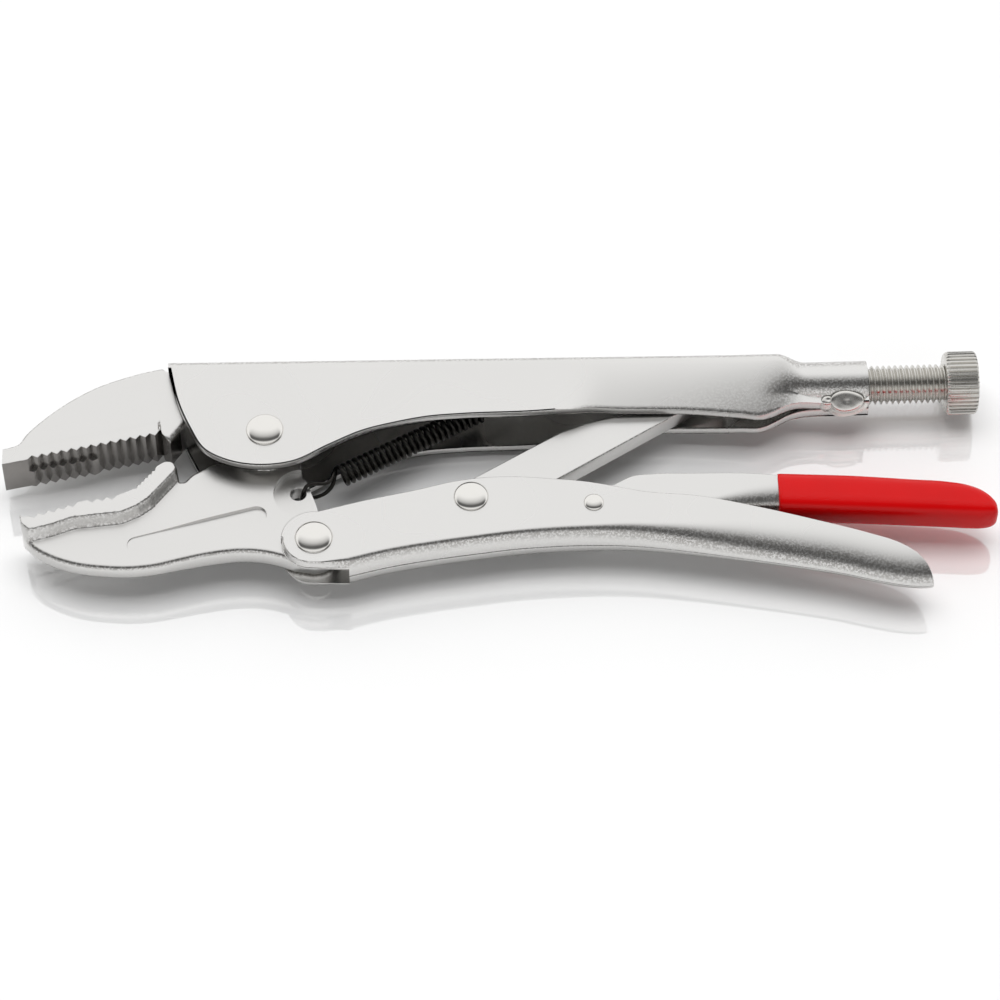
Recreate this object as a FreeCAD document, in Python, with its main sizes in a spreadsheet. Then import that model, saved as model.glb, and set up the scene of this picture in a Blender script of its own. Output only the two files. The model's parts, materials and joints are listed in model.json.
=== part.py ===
import FreeCAD, Part
import math
import os
from FreeCAD import Placement, Rotation, Vector

# Locking pliers lying on one side. +X runs along the adjusting screw towards its knob, +Y from the grip handle
# towards the back of the upper arm, +Z is the hinge direction. z = 0 is the surface that the tool lies on, and
# x = y = 0 is the middle of its outline. Millimetres.

doc = FreeCAD.newDocument("LockingPliers")
sheet = doc.addObject("Spreadsheet::Sheet", "Sizes")

DRIVING = [
    ("pivot_x", -58.4, "main pivot from the middle of the tool"),
    ("pivot_y", 12.3, "main pivot from the middle of the tool"),
    ("jaw_reach", 66.0, "main pivot to the jaws' tips"),
    ("arm_length", 153.6, "main pivot to the rear end of the tube"),
    ("screw_rise", 15.2, "screw axis above the main pivot"),
    ("housing_width", 16.0, "upper arm over its two side plates"),
    ("sheet_wall", 2.0, "sheet of the upper arm"),
    ("bend_radius", 3.0, "outside radius of the upper arm's bends"),
    ("pinch_width", 10.4, "upper arm's open edge behind the middle"),
    ("tube_wall", 1.25, "tube outside the screw thread"),
    ("keel_width", 5.6, "two lips welded under the tube"),
    ("keel_drop", 1.4, "lips below the tube"),
    ("thread_diameter", 10.0, "adjusting screw M10"),
    ("thread_pitch", 1.5, "adjusting screw M10"),
    ("thread_depth", 0.92, "adjusting screw M10"),
    ("thread_clearance", 0.06, "between screw and tube, radial"),
    ("thrust_diameter", 5.0, "screw's turned-down tip"),
    ("thrust_gap", 2.3, "link nose to screw tip at rest"),
    ("knob_diameter", 16.2, "knurled knob"),
    ("knob_width", 8.2, "knurled knob"),
    ("knob_gap", 20.0, "tube end to knob"),
    ("knob_chamfer", 0.9, "knob's two rims"),
    ("flute_depth", 0.45, "knob's flutes"),
    ("side_clearance", 0.2, "jaws inside the upper arm, each side"),
    ("ear_thickness", 5.6, "moving jaw's plate and ear"),
    ("ear_clearance", 0.15, "ear inside the handle, each side"),
    ("handle_wall", 2.1, "sheet of the handle"),
    ("link_thickness", 5.0, "toggle link"),
    ("main_shank", 7.0, "main and handle rivets"),
    ("flange_diameter", 9.6, "rim of the two large rivet heads"),
    ("flange_height", 0.5, "rim of the two large rivet heads"),
    ("dome_diameter", 7.8, "dome of the two large rivet heads"),
    ("dome_height", 1.5, "dome of the two large rivet heads, above its rim"),
    ("toggle_shank", 6.0, "toggle rivet"),
    ("toggle_dome", 8.7, "toggle rivet head"),
    ("toggle_rise", 1.7, "toggle rivet head"),
    ("release_shank", 3.2, "release lever rivet"),
    ("release_dome", 5.0, "release lever rivet head"),
    ("release_rise", 1.1, "release lever rivet head"),
    ("pin_clearance", 0.05, "rivet in its turning hole, radial"),
    ("tooth_pitch", 2.5, "jaw teeth"),
    ("tooth_depth", 1.0, "jaw teeth"),
    ("fine_pitch", 1.4, "moving jaw's fine teeth in the throat"),
    ("fine_depth", 0.4, "moving jaw's fine teeth in the throat"),
    ("row_proud", 0.5, "second row of front teeth, proud of the first"),
    ("spot_radius", 7.3, "spot face round the spring hole"),
    ("spot_depth", 1.7, "spot face round the spring hole"),
    ("spring_hole", 3.8, "hole in the ear"),
    ("spring_diameter", 6.0, "tension spring, outside"),
    ("wire_diameter", 1.0, "tension spring"),
    ("lever_wall", 1.5, "folded sheet of the release lever"),
    ("lever_width", 5.3, "release lever between the handle's walls"),
    ("tail_width", 6.5, "release lever's tail"),
    ("sleeve_wall", 1.5, "dipped plastic sleeve"),
]
for row, (alias, value, meaning) in enumerate(DRIVING, start=1):
    sheet.set(f"A{row}", meaning)
    sheet.set(f"B{row}", str(value))
    sheet.setAlias(f"B{row}", alias)
doc.recompute()


def size(alias):
    return float(getattr(sheet, alias))


# Expressions for what the driving sizes give, and the same values as numbers.
MIDDLE = "(Sizes.housing_width / 2 + Sizes.flange_height + Sizes.dome_height)"
JAW_THICKNESS = "(Sizes.housing_width - 2 * Sizes.sheet_wall - 2 * Sizes.side_clearance)"
middle = size("housing_width") / 2 + size("flange_height") + size("dome_height")
jaw_thickness = size("housing_width") - 2 * size("sheet_wall") - 2 * size("side_clearance")
handle_inner = size("ear_thickness") + 2 * size("ear_clearance")
handle_width = handle_inner + 2 * size("handle_wall")
bore_radius = size("thread_diameter") / 2 + size("thread_clearance")
tube_radius = bore_radius + size("tube_wall")

# Outlines are drawn from the main pivot. Along X the drawing follows the two overall lengths between stations:
# jaw tips, throat, ears, tube front, tube end. The stretches between throat and ears and behind the tube's front
# keep their length.
TIP, THROAT, EARS, TUBE_FRONT, TUBE_END = -66.0, -24.0, 22.0, 130.0, 153.6


def along(dx):
    tube_front = size("arm_length") - (TUBE_END - TUBE_FRONT)
    if dx < THROAT:
        return THROAT + (dx - THROAT) * (size("jaw_reach") + THROAT) / (THROAT - TIP)
    if dx <= EARS:
        return dx
    if dx < TUBE_FRONT:
        return EARS + (dx - EARS) * (tube_front - EARS) / (TUBE_FRONT - EARS)
    return tube_front + dx - TUBE_FRONT


def at(dx, dy, z=0.0):
    return Vector(size("pivot_x") + along(dx), size("pivot_y") + dy, z)


HANDLE_PIVOT = (12.0, -31.8)
TOGGLE_PIVOT = (51.3, -20.5)
RELEASE_PIVOT = (81.8, -23.4)
SPRING_HOLE = (8.1, -15.5)
NOSE_RADIUS = 2.7
main_pivot = at(0, 0)
handle_pivot = at(*HANDLE_PIVOT)
toggle_pivot = at(*TOGGLE_PIVOT)
release_pivot = at(*RELEASE_PIVOT)
screw_y = size("pivot_y") + size("screw_rise")
tube_end_x = at(TUBE_END, 0).x
nose_centre = Vector(at(114.6, 0).x, screw_y, 0)


# ---- drawing helpers ----------------------------------------------------------------------------------------


def path(*stretches):
    """Edges of a closed outline: each stretch is 'line' or 'curve' with its points from the main pivot."""
    edges, last, first = [], None, None
    for kind, *points in stretches:
        points = [p if isinstance(p, Vector) else at(*p) for p in points]
        if last is not None and last.distanceToPoint(points[0]) > 1e-6:
            points.insert(0, last)
        first = first or points[0]
        if kind == "curve" and len(points) > 2:
            spline = Part.BSplineCurve()
            spline.interpolate(points)
            edges.append(spline)
        else:
            edges += [Part.LineSegment(a, b) for a, b in zip(points, points[1:])
                      if a.distanceToPoint(b) > 1e-6]
        last = points[-1]
    if last.distanceToPoint(first) > 1e-6:
        edges.append(Part.LineSegment(last, first))
    return edges


def prism(edges, low, high):
    """A plain solid: a closed outline carried from low to high about the tool's middle plane."""
    wire = Part.Wire([e.toShape() for e in edges])
    face = Part.Face(wire)
    face.translate(Vector(0, 0, middle + low))
    return face.extrude(Vector(0, 0, high - low))


def cylinder(centre, radius, low, high):
    return Part.makeCylinder(radius, high - low, Vector(centre.x, centre.y, middle + low))


def feature(label, shape):
    """A sub-part whose shape comes from Part's own functions."""
    obj = doc.addObject("Part::Feature", label)
    obj.Label = label
    obj.Shape = shape.removeSplitter()
    return obj


def body(label, place=Vector(0, 0, 0)):
    """A body on the tool's middle plane."""
    made = doc.addObject("PartDesign::Body", label)
    made.Label = label
    made.Placement = Placement(Vector(place.x, place.y, middle), Rotation())
    made.setExpression(".Placement.Base.z", MIDDLE)
    return made


def sketch(owner, name, edges, plane="XY_Plane"):
    made = owner.newObject("Sketcher::SketchObject", owner.Label + "_" + name)
    support = next(f for f in owner.Origin.OriginFeatures if f.Role == plane)
    made.AttachmentSupport = (support, "")
    made.MapMode = "FlatFace"
    for edge in edges:
        made.addGeometry(edge, False)
    return made


def pad(owner, name, edges, thickness):
    """A pad both ways from the middle plane; thickness is an expression."""
    made = owner.newObject("PartDesign::Pad", owner.Label + "_" + name + "_pad")
    made.Profile = sketch(owner, name, edges)
    made.SideType = "Symmetric"
    made.setExpression("Length", thickness)
    owner.Tip = made
    return made


def hole(owner, name, centre, diameter):
    """A hole right through, along Z; diameter is an expression."""
    made = owner.newObject("PartDesign::Pocket", owner.Label + "_" + name + "_pocket")
    ring = Part.Circle(Vector(centre.x, centre.y, 0), Vector(0, 0, 1), 1.0)
    drawing = sketch(owner, name, [ring])
    drawing.addConstraint(Constraint("Diameter", 0, 1.0))
    drawing.setExpression("Constraints[0]", diameter)
    made.Profile = drawing
    made.SideType = "Symmetric"
    made.setExpression("Length", "2 * Sizes.housing_width")
    owner.Tip = made
    return made


def polygon(points):
    return [Part.LineSegment(a, b) for a, b in zip(points, points[1:] + points[:1])]


def teeth(start, end, pitch, depth, phase=0.0):
    """Zigzag from start to end: crests on the line, roots one depth to the left of the way."""
    way = end - start
    length = way.Length
    way.normalize()
    left = Vector(-way.y, way.x, 0)
    points = [start]
    count = int(length / pitch - phase)
    for n in range(count):
        reach = (n + phase) * pitch
        if reach > 0:
            points.append(start + way * reach)
        points.append(start + way * (reach + pitch / 2) + left * depth)
    points.append(start + way * ((count + phase) * pitch))
    if points[-1].distanceToPoint(end) > 0.1:
        points.append(end)
    else:
        points[-1] = end
    return points


import Sketcher

Constraint = Sketcher.Constraint


# ---- upper arm: one sheet, bent to a channel, pinched behind the middle, rolled to a tube at the rear ------------

SPINE_FRONT, SPINE_REAR = (-24.6, 23.9), (119.0, 21.35)
spine_slope = (SPINE_REAR[1] - SPINE_FRONT[1]) / (SPINE_REAR[0] - SPINE_FRONT[0])
wall = size("sheet_wall")
half_width = size("housing_width") / 2
half_pinch = size("pinch_width") / 2
tube_top = size("screw_rise") + tube_radius


def spine_top(dx):
    """Back of the arm above the main pivot; behind the last station it runs level with the tube."""
    drop = min(dx, SPINE_REAR[0]) - SPINE_REAR[0]
    return tube_top + spine_slope * drop


def channel_section(dx, top_half, low_half, low_dy, inset=0.0):
    """Closed section across the arm: flat open side, leaning plates, rounded bends, back."""
    x = at(dx, 0).x
    top = size("pivot_y") + spine_top(dx) - inset
    low = size("pivot_y") + low_dy
    radius = max(size("bend_radius") - inset, 0.4)
    lean = (top_half - low_half) / (top - low)
    side_y = top - radius
    side_z = top_half - lean * radius
    cut = radius * (1 - math.sqrt(0.5))

    def point(y, z):
        return Vector(x, y, middle + z)

    edges = [
        Part.LineSegment(point(low, -low_half), point(low, low_half)),
        Part.LineSegment(point(low, low_half), point(side_y, side_z)),
        Part.Arc(point(side_y, side_z), point(top - cut, side_z - cut), point(top, side_z - radius)),
        Part.LineSegment(point(top, side_z - radius), point(top, radius - side_z)),
        Part.Arc(point(top, radius - side_z), point(top - cut, cut - side_z), point(side_y, -side_z)),
        Part.LineSegment(point(side_y, -side_z), point(low, -low_half)),
    ]
    return Part.Wire([e.toShape() for e in edges])


def housing_outline():
    """Side view of the arm, from the front of its back, round the open edge to the tube's end."""
    rear = at(TUBE_END, 0).x
    keel = size("screw_rise") - tube_radius - size("keel_drop")
    front_top = spine_top(SPINE_FRONT[0])
    return path(
        ("line", (-24.6, front_top), (-23.5, 15.2)),
        ("curve", (-23.5, 15.2), (-22.2, 9.0), (-19.4, 1.4), (-16.2, -5.8), (-8.7, -9.9), (-0.2, -11.4),
         (6.3, -11.3), (16.4, -5.6)),
        ("curve", (16.4, -5.6), (24.7, -1.5), (33.0, 0.8), (41.5, 2.4), (49.2, 2.8)),
        ("line", (49.2, 2.8), (69.5, 3.3)),
        ("curve", (69.5, 3.3), (77.0, 4.0), (83.5, 5.3), (91.6, 5.2)),
        ("line", (91.6, 5.2), (108.0, 4.7), (127.0, 3.3), (130.5, 4.4), (135.0, keel + 1.0), (143.0, keel + 1.0), (144.5, keel)),
        ("line", (144.5, keel), Vector(rear, size("pivot_y") + keel, 0),
         Vector(rear, size("pivot_y") + tube_top, 0), (119.0, tube_top)),
    )


PINCH_START, PINCH_END, ROLL_START, ROLL_END = 75.0, 87.0, 127.0, 138.0
lean_low = 4.0


def housing_shape():
    half_inner = half_width - wall
    inner_pinch = half_pinch - wall
    bottom = -16.0
    lean = (half_width - half_pinch) / (spine_top(PINCH_END) - lean_low)
    deep_pinch = half_pinch + lean * (bottom - lean_low)
    front = Part.makeLoft([
        channel_section(-30.0, half_width, half_width, bottom),
        channel_section(PINCH_START, half_width, half_width, bottom)], True, True)
    rear = Part.makeLoft([
        channel_section(PINCH_START, half_width, half_width, bottom),
        channel_section(PINCH_END, half_width, deep_pinch, bottom),
        channel_section(ROLL_START, half_width, deep_pinch, bottom)], True, True)
    outer = front.fuse(rear)
    tube_x = at(ROLL_START, 0).x
    blend = Part.makeLoft([
        channel_section(ROLL_START, half_width, deep_pinch, bottom),
        channel_section(ROLL_END, tube_radius, size("keel_width") / 2, bottom, 0.0)], True, True)
    axis = Vector(1, 0, 0)
    tube = Part.makeCylinder(tube_radius, tube_end_x - tube_x, Vector(tube_x, screw_y, middle), axis)
    keel = size("keel_width")
    keel_bottom = screw_y - tube_radius - size("keel_drop")
    lips = Part.makeBox(tube_end_x - tube_x, screw_y - keel_bottom, keel,
                        Vector(tube_x, keel_bottom, middle - keel / 2))
    outer = outer.fuse([blend, tube, lips])
    outer = outer.common(prism(housing_outline(), -half_width, half_width))

    shallow = 1.0
    inner_low = inner_pinch - lean * (lean_low - shallow)
    front_cavity = Part.makeLoft([
        channel_section(-31.0, half_inner, half_inner, bottom - 1, wall),
        channel_section(PINCH_START, half_inner, half_inner, bottom - 1, wall)], True, True)
    rear_cavity = Part.makeLoft([
        channel_section(PINCH_START, half_inner, half_inner, shallow, wall),
        channel_section(PINCH_END, half_inner, inner_low, shallow, wall),
        channel_section(ROLL_START, half_inner, inner_low, shallow, wall)], True, True)
    mouth = Part.makeLoft([
        channel_section(ROLL_START, half_inner, inner_low, shallow, wall),
        channel_section(ROLL_END, bore_radius - 0.6, inner_low * 0.6, shallow, wall)], True, True)
    bore = Part.makeCylinder(bore_radius, 200, Vector(at(96.0, 0).x, screw_y, middle), axis)
    shape = outer.cut([front_cavity, rear_cavity, mouth, bore])

    tab_x = at(TAB[0], 0).x
    tab_top = size("pivot_y") + spine_top(TAB[0]) - wall / 2
    tab_low = size("pivot_y") + TAB[1]
    tab = Part.makeBox(wall, tab_top - tab_low, TAB_WIDTH, Vector(tab_x, tab_low, middle - TAB_WIDTH / 2))
    slot = Part.makeCylinder(TAB_HOLE / 2, 3 * wall, Vector(tab_x - wall, tab_low + TAB_HOLE, middle), axis)
    shape = shape.fuse(tab).cut(slot)
    pin = size("main_shank") / 2
    return shape.cut(cylinder(main_pivot, pin, -half_width - 1, half_width + 1))


TAB, TAB_WIDTH, TAB_HOLE = (62.0, 10.4), 5.0, 2.4
feature("housing", housing_shape())


def seam_weld_shape():
    """The bead that closes the two lips: two stepped ovals wrapped round them, under the tube."""
    lips = size("keel_width")
    bottom = screw_y - tube_radius - size("keel_drop")
    centre = Vector(tube_end_x - 6.4, bottom + 1.3, 0)

    def oval(scale, half):
        turns = [math.pi * (n + 0.5) / 12 for n in range(24)]
        ring = [centre + Vector(5.0 * scale * math.cos(a), 2.5 * scale * math.sin(a), 0) for a in turns]
        return prism(polygon(ring), -half, half)

    bead = oval(1.0, lips / 2 + 0.4).fuse(oval(0.8, lips / 2 + 0.9))
    start = Vector(tube_end_x - 20, bottom, middle - lips / 2)
    inside = Part.makeBox(30, tube_radius + size("keel_drop"), lips, start)
    tube = Part.makeCylinder(tube_radius, 30, Vector(start.x, screw_y, middle), Vector(1, 0, 0))
    return bead.cut(inside).cut(tube)


feature("seam_weld", seam_weld_shape())


# ---- fixed jaw: forged, toothed below, its tang seated between the arm's plates ------------------------------------

FACE_TIP, FACE_END = (-66.0, -6.7), (-26.8, 1.3)
TEETH_START, ROW_END = (-59.6, -5.39), (-42.44, -1.897)
TANG_REAR, TANG_LOW = 12.0, 12.6


def fixed_jaw_outline(far_row, eased):
    """Outline of half the jaw. The far row of front teeth is half a pitch on and stands proud. Where eased, the
    tang's back keeps clear of the bends."""
    seat = spine_top(-24.8) - wall - (bend_inside if eased else 0.02)
    seat_rear = spine_top(TANG_REAR) - wall - (bend_inside if eased else 0.02)
    drop = Vector(0, -size("row_proud"), 0) if far_row else Vector(0, 0, 0)
    front = teeth(at(*TEETH_START) + drop, at(*ROW_END) + drop, size("tooth_pitch"), size("tooth_depth"),
                  0.5 if far_row else 0.0)
    rear = teeth(at(*ROW_END), at(*FACE_END), size("tooth_pitch"), size("tooth_depth"))
    return path(
        ("line", at(*FACE_TIP), *front, *rear),
        ("line", at(*FACE_END), (-26.2, 3.4), (-25.7, 1.6), (-23.9, -0.8), (-20.4, 4.4), (-13.5, 9.3),
         (-6.0, TANG_LOW), (TANG_REAR, TANG_LOW), (TANG_REAR, seat_rear), (-24.9, seat), (-24.9, 23.0)),
        ("curve", (-24.9, 23.0), (-30.3, 22.0), (-36.9, 19.9), (-42.0, 17.8), (-50.3, 12.6), (-55.8, 7.8),
         (-60.4, 2.7), (-62.3, -0.3)),
        ("line", (-62.3, -0.3), (-66.0, -1.5)),
    )


def fixed_jaw_shape():
    half = jaw_thickness / 2
    core = half - bend_inside
    layers = [prism(fixed_jaw_outline(far, eased), low, high) for far, eased, low, high in (
        (True, True, -half, -core), (True, False, -core, ROW_SPLIT), (False, False, ROW_SPLIT, core),
        (False, True, core, half))]
    return layers[0].fuse(layers[1:])


ROW_SPLIT = 0.6
bend_inside = max(size("bend_radius") - wall, 0.4)
feature("fixed_jaw", fixed_jaw_shape())


def jaw_weld_shape():
    """Fillet weld in the corner between the tang's rear end and the arm's back."""
    leg = 2.0
    corner = at(TANG_REAR, spine_top(TANG_REAR) - wall)
    edges = polygon([corner, corner + Vector(leg, spine_slope * leg, 0), corner + Vector(0, -leg, 0)])
    return prism(edges, -jaw_thickness / 2 + 1.2, jaw_thickness / 2 - 1.2)


feature("jaw_weld", jaw_weld_shape())


# ---- moving jaw: forged plate with boss, ear, toothed band, spot face and spring hole -------------------------------

BOSS_RADIUS = 9.0
EAR_RADIUS = 6.2

moving_jaw = body("moving_jaw")
ear_right = handle_pivot + Vector(EAR_RADIUS, 0, 0)
ear_low = handle_pivot - Vector(0, EAR_RADIUS, 0)
pad(moving_jaw, "plate", path(
    ("curve", (-60.2, -26.4), (-57.4, -30.8), (-53.4, -33.6), (-47.0, -36.2), (-40.6, -37.4), (-34.2, -37.9),
     (-27.7, -37.4), (-21.3, -36.0), (-14.9, -34.7), (-6.8, -33.8), (-1.5, -34.2), (3.0, -35.4)),
    ("curve", (3.0, -35.2), (7.0, -37.1), ear_low, handle_pivot + Vector(0.7071, -0.7071, 0) * EAR_RADIUS,
     ear_right, (16.0, -26.0), (12.9, -21.0), (12.5, -17.8), (10.5, -13.5), (8.3, -10.6), (5.5, -7.5)),
    ("line", (5.5, -7.5), (0, 0), (-9.6, -4.6)),
    ("curve", (-9.6, -4.6), (-14.2, -6.4), (-17.2, -8.1), (-20.3, -10.1), (-23.2, -11.5)),
    ("line", (-23.2, -11.5), (-31.0, -19.6), (-42.0, -22.6), (-56.0, -25.0)),
), "Sizes.ear_thickness")

band_front = teeth(at(-58.8, -22.9), at(-45.0, -18.6), size("tooth_pitch"), -size("tooth_depth") * 0.8)
band_front += teeth(at(-44.4, -18.5), at(-34.6, -17.0), size("tooth_pitch"), -size("tooth_depth") * 0.8)
band_fine = teeth(at(-32.9, -15.4), at(-27.2, -8.5), size("fine_pitch"), -size("fine_depth"))
pad(moving_jaw, "band", path(
    ("line", at(-60.6, -25.2), *band_front, *band_fine),
    ("curve", at(-27.2, -8.5), (-24.9, -7.1), (-22.4, -8.0), (-22.0, -10.4)),
    ("line", (-22.0, -10.4), (-28.7, -19.0)),
    ("curve", (-28.7, -19.0), (-31.7, -21.4), (-35.9, -23.4), (-42.3, -23.9), (-47.8, -24.5), (-53.0, -26.7),
     (-57.7, -28.8)),
    ("line", (-57.7, -28.8), (-60.4, -27.0)),
), JAW_THICKNESS)
pad(moving_jaw, "boss", [Part.Circle(Vector(main_pivot.x, main_pivot.y, 0), Vector(0, 0, 1), BOSS_RADIUS)],
    JAW_THICKNESS)

spot = moving_jaw.newObject("PartDesign::Pocket", "moving_jaw_spot_pocket")
spot_drawing = sketch(moving_jaw, "spot", [Part.Circle(at(9.2, -16.2), Vector(0, 0, 1), 1.0)])
spot_drawing.addConstraint(Constraint("Radius", 0, 1.0))
spot_drawing.setExpression("Constraints[0]", "Sizes.spot_radius")
spot_drawing.AttachmentOffset = Placement(Vector(0, 0, size("ear_thickness") / 2 - size("spot_depth")), Rotation())
spot_drawing.setExpression(".AttachmentOffset.Base.z", "Sizes.ear_thickness / 2 - Sizes.spot_depth")
spot.Profile = spot_drawing
spot.Reversed = True
spot.setExpression("Length", "Sizes.ear_thickness / 2")
moving_jaw.Tip = spot
hole(moving_jaw, "main_hole", main_pivot, "Sizes.main_shank + 2 * Sizes.pin_clearance")
hole(moving_jaw, "ear_hole", handle_pivot, "Sizes.main_shank + 2 * Sizes.pin_clearance")
hole(moving_jaw, "spring_eye", at(*SPRING_HOLE), "Sizes.spring_hole")


# ---- handle: pressed channel, open towards the arm, with two ears in front ------------------------------------------

HANDLE_EAR = 8.2
WEB_FRONT = 20.6


def handle_top():
    return [(12.9, -23.7), (25.3, -20.5), (36.9, -18.0), (48.7, -15.2), (53.7, -14.6), (62.0, -14.5), (72.7, -15.6),
            (79.9, -16.6), (85.6, -17.9), (94.5, -20.2), (108.4, -22.1), (122.1, -25.8), (135.9, -30.2),
            (149.4, -34.9), (158.0, -38.0)]


def handle_bottom():
    return [(154.0, -45.6), (142.6, -41.8), (128.3, -38.3), (117.4, -36.3), (100.3, -33.6), (95.6, -32.8),
            (80.9, -32.0), (70.0, -32.2), (61.2, -32.7), (52.7, -33.8), (41.2, -35.3), (29.3, -37.4), (20.6, -39.4)]


def handle_outline():
    left = handle_pivot - Vector(HANDLE_EAR, 0, 0)
    return path(
        ("curve", left, handle_pivot + Vector(-0.7071, 0.7071, 0) * HANDLE_EAR, *handle_top()),
        ("curve", (158.0, -38.0), (162.6, -41.0), (164.4, -46.0), (161.8, -48.2), *handle_bottom(), (9.5, -38.9),
         (5.2, -36.0), left),
    )


def handle_shape():
    half, inner = handle_width / 2, handle_inner / 2
    web = size("handle_wall")
    outer = prism(handle_outline(), -half, half)
    lift = Vector(0, web, 0)
    floor = [at(*p) + lift for p in handle_bottom()]
    roof = Vector(0, 30, 0)
    trough = prism(path(
        ("curve", at(158.5, -46.6) + lift, *floor),
        ("line", floor[-1], floor[-1] + roof, at(158.5, -46.6) + lift + roof)), -inner, inner)
    front = prism(polygon([at(-5, -60), at(WEB_FRONT, -60), at(WEB_FRONT, 0), at(-5, 0)]), -inner, inner)
    corner = size("handle_wall") * 0.9
    rims = [e for e in outer.Edges if e.BoundBox.ZLength < 1e-4 and e.BoundBox.XLength > 60
            and e.BoundBox.YMin < at(0, -46).y]
    shape = outer.makeFillet(corner, rims).cut([trough, front])
    return shape.cut([
        cylinder(handle_pivot, size("main_shank") / 2 + size("pin_clearance"), -20, 20),
        cylinder(toggle_pivot, size("toggle_shank") / 2, -20, 20),
        cylinder(release_pivot, size("release_shank") / 2, -20, 20)])


feature("grip_handle", handle_shape())


# ---- toggle link ----------------------------------------------------------------------------------------------------

LINK_RADIUS = 6.1
LINK_ANGLE = math.radians(31.6)

toggle_link = body("toggle_link")
across = Vector(-math.sin(LINK_ANGLE), math.cos(LINK_ANGLE), 0)
back = Vector(-math.cos(LINK_ANGLE), -math.sin(LINK_ANGLE), 0)
upper_start = toggle_pivot + across * LINK_RADIUS
lower_start = toggle_pivot - across * LINK_RADIUS
nose_low = nose_centre - across * NOSE_RADIUS
nose_top = nose_centre + across * NOSE_RADIUS
link_edges = path(("line", lower_start, nose_low))
link_edges = [
    Part.LineSegment(lower_start, nose_low),
    Part.Arc(nose_low, nose_centre - back * NOSE_RADIUS, nose_top),
    *path(("curve", nose_top, (103.0, 11.2), (89.3, 5.6), (81.2, 3.6), (74.5, 0.9)),
          ("line", (74.5, 0.9), upper_start))[:2],
    Part.Arc(upper_start, toggle_pivot + back * LINK_RADIUS, lower_start),
]
pad(toggle_link, "plate", link_edges, "Sizes.link_thickness")
hole(toggle_link, "toggle_hole", toggle_pivot, "Sizes.toggle_shank + 2 * Sizes.pin_clearance")


# ---- release lever and its dipped sleeve ----------------------------------------------------------------------------

LEVER_TAIL = 178.0


def lever_outline():
    """Side view of the lever."""
    return path(
        ("curve", (70.0, -23.8), (73.5, -27.0), (81.8, -28.3), (95.0, -26.4), (108.0, -24.3), (129.3, -24.0)),
        ("curve", (129.3, -24.0), (154.3, -25.9), (171.5, -27.3), (176.0, -27.6), (LEVER_TAIL, -25.4),
         (176.0, -22.2), (171.0, -20.2), (160.0, -18.5), (146.6, -17.0), (129.3, -15.6)),
        ("curve", (129.3, -15.6), (111.6, -13.9), (96.0, -13.2), (90.0, -14.5), (84.5, -17.8), (77.0, -20.4)),
        ("line", (77.0, -20.2), (71.0, -21.6)))


def lever_shape():
    half, wall_thickness = size("lever_width") / 2, size("lever_wall")
    tail = size("tail_width") / 2
    outer = prism(lever_outline(), -tail, tail)
    flare = [at(119.5, 0).x, at(129.3, 0).x]
    x_front, x_rear = at(60.0, 0).x, at(200.0, 0).x
    y_low, y_high = at(0, -60).y, at(0, 10).y

    def slab(thin, wide, low, high):
        """Everything within thin of the middle plane in front, widening to wide at the tail."""
        points = [(x_front, thin), (flare[0], thin), (flare[1], wide), (x_rear, wide)]
        ring = points + [(x, -z) for x, z in reversed(points)]
        wire = Part.makePolygon([Vector(x, low, middle + z) for x, z in ring + ring[:1]])
        return Part.Face(wire).extrude(Vector(0, high - low, 0))

    outer = outer.common(slab(half, tail, y_low, y_high))
    fold = path(
        ("curve", (64.0, -22.0), (73.5, -25.2), (81.8, -26.6), (95.0, -24.7), (108.0, -22.6), (129.3, -22.3)),
        ("curve", (129.3, -22.3), (154.3, -24.2), (LEVER_TAIL - wall_thickness, -25.4)),
        ("line", (LEVER_TAIL - wall_thickness, -25.4), (LEVER_TAIL - wall_thickness, 10.0), (64.0, 10.0)))
    groove = prism(fold, -tail, tail).common(slab(half - wall_thickness, tail - wall_thickness, y_low, y_high + 10))
    shape = outer.cut(groove)
    return shape.cut(cylinder(release_pivot, size("release_shank") / 2 + size("pin_clearance"), -20, 20))


lever = feature("release_lever", lever_shape())


SLEEVE_STATIONS = [
    (127.9, -25.6, -14.2, 1.0), (146.6, -26.9, -15.4, 1.0), (160.0, -28.0, -16.7, 1.0), (171.0, -29.0, -18.0, 1.0),
    (176.0, -29.6, -19.2, 1.0), (179.4, -29.9, -20.9, 0.93), (181.6, -29.6, -23.2, 0.75), (182.9, -28.6, -25.6, 0.4),
]


def rounded_section(dx, low, high, half, radius):
    """Rounded rectangle across the tool at one station."""
    x, y0, y1 = at(dx, 0).x, at(0, low).y, at(0, high).y
    near = radius * (1 - math.sqrt(0.5))

    def point(y, z):
        return Vector(x, y, middle + z)

    edges = []
    for corner_y, corner_z, sy, sz in ((y0, -half, 1, 1), (y0, half, 1, -1), (y1, half, -1, -1), (y1, -half, -1, 1)):
        along_y = point(corner_y + sy * radius, corner_z)
        along_z = point(corner_y, corner_z + sz * radius)
        mid = point(corner_y + sy * near, corner_z + sz * near)
        start, stop = (along_y, along_z) if sy == sz else (along_z, along_y)
        edges.append(Part.Arc(start, mid, stop))
    ring = []
    for edge, following in zip(edges, edges[1:] + edges[:1]):
        ring += [edge.toShape(), Part.LineSegment(edge.EndPoint, following.StartPoint).toShape()]
    return Part.Wire(ring)


def sleeve_shape():
    """Sleeve round the tail: rounded sections along it, the lever's tail left out."""
    half = size("tail_width") / 2 + size("sleeve_wall")
    sections = [rounded_section(dx, low, high, half * share, min(half * share * 0.62, (high - low) * 0.45))
                for dx, low, high, share in SLEEVE_STATIONS]
    outer = Part.makeLoft(sections, True, True)
    tail = size("tail_width") / 2
    return outer.cut(prism(lever_outline(), -tail, tail))


feature("lever_sleeve", sleeve_shape())


# ---- rivets: revolved about Z, a head on each side ------------------------------------------------------------------


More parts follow.
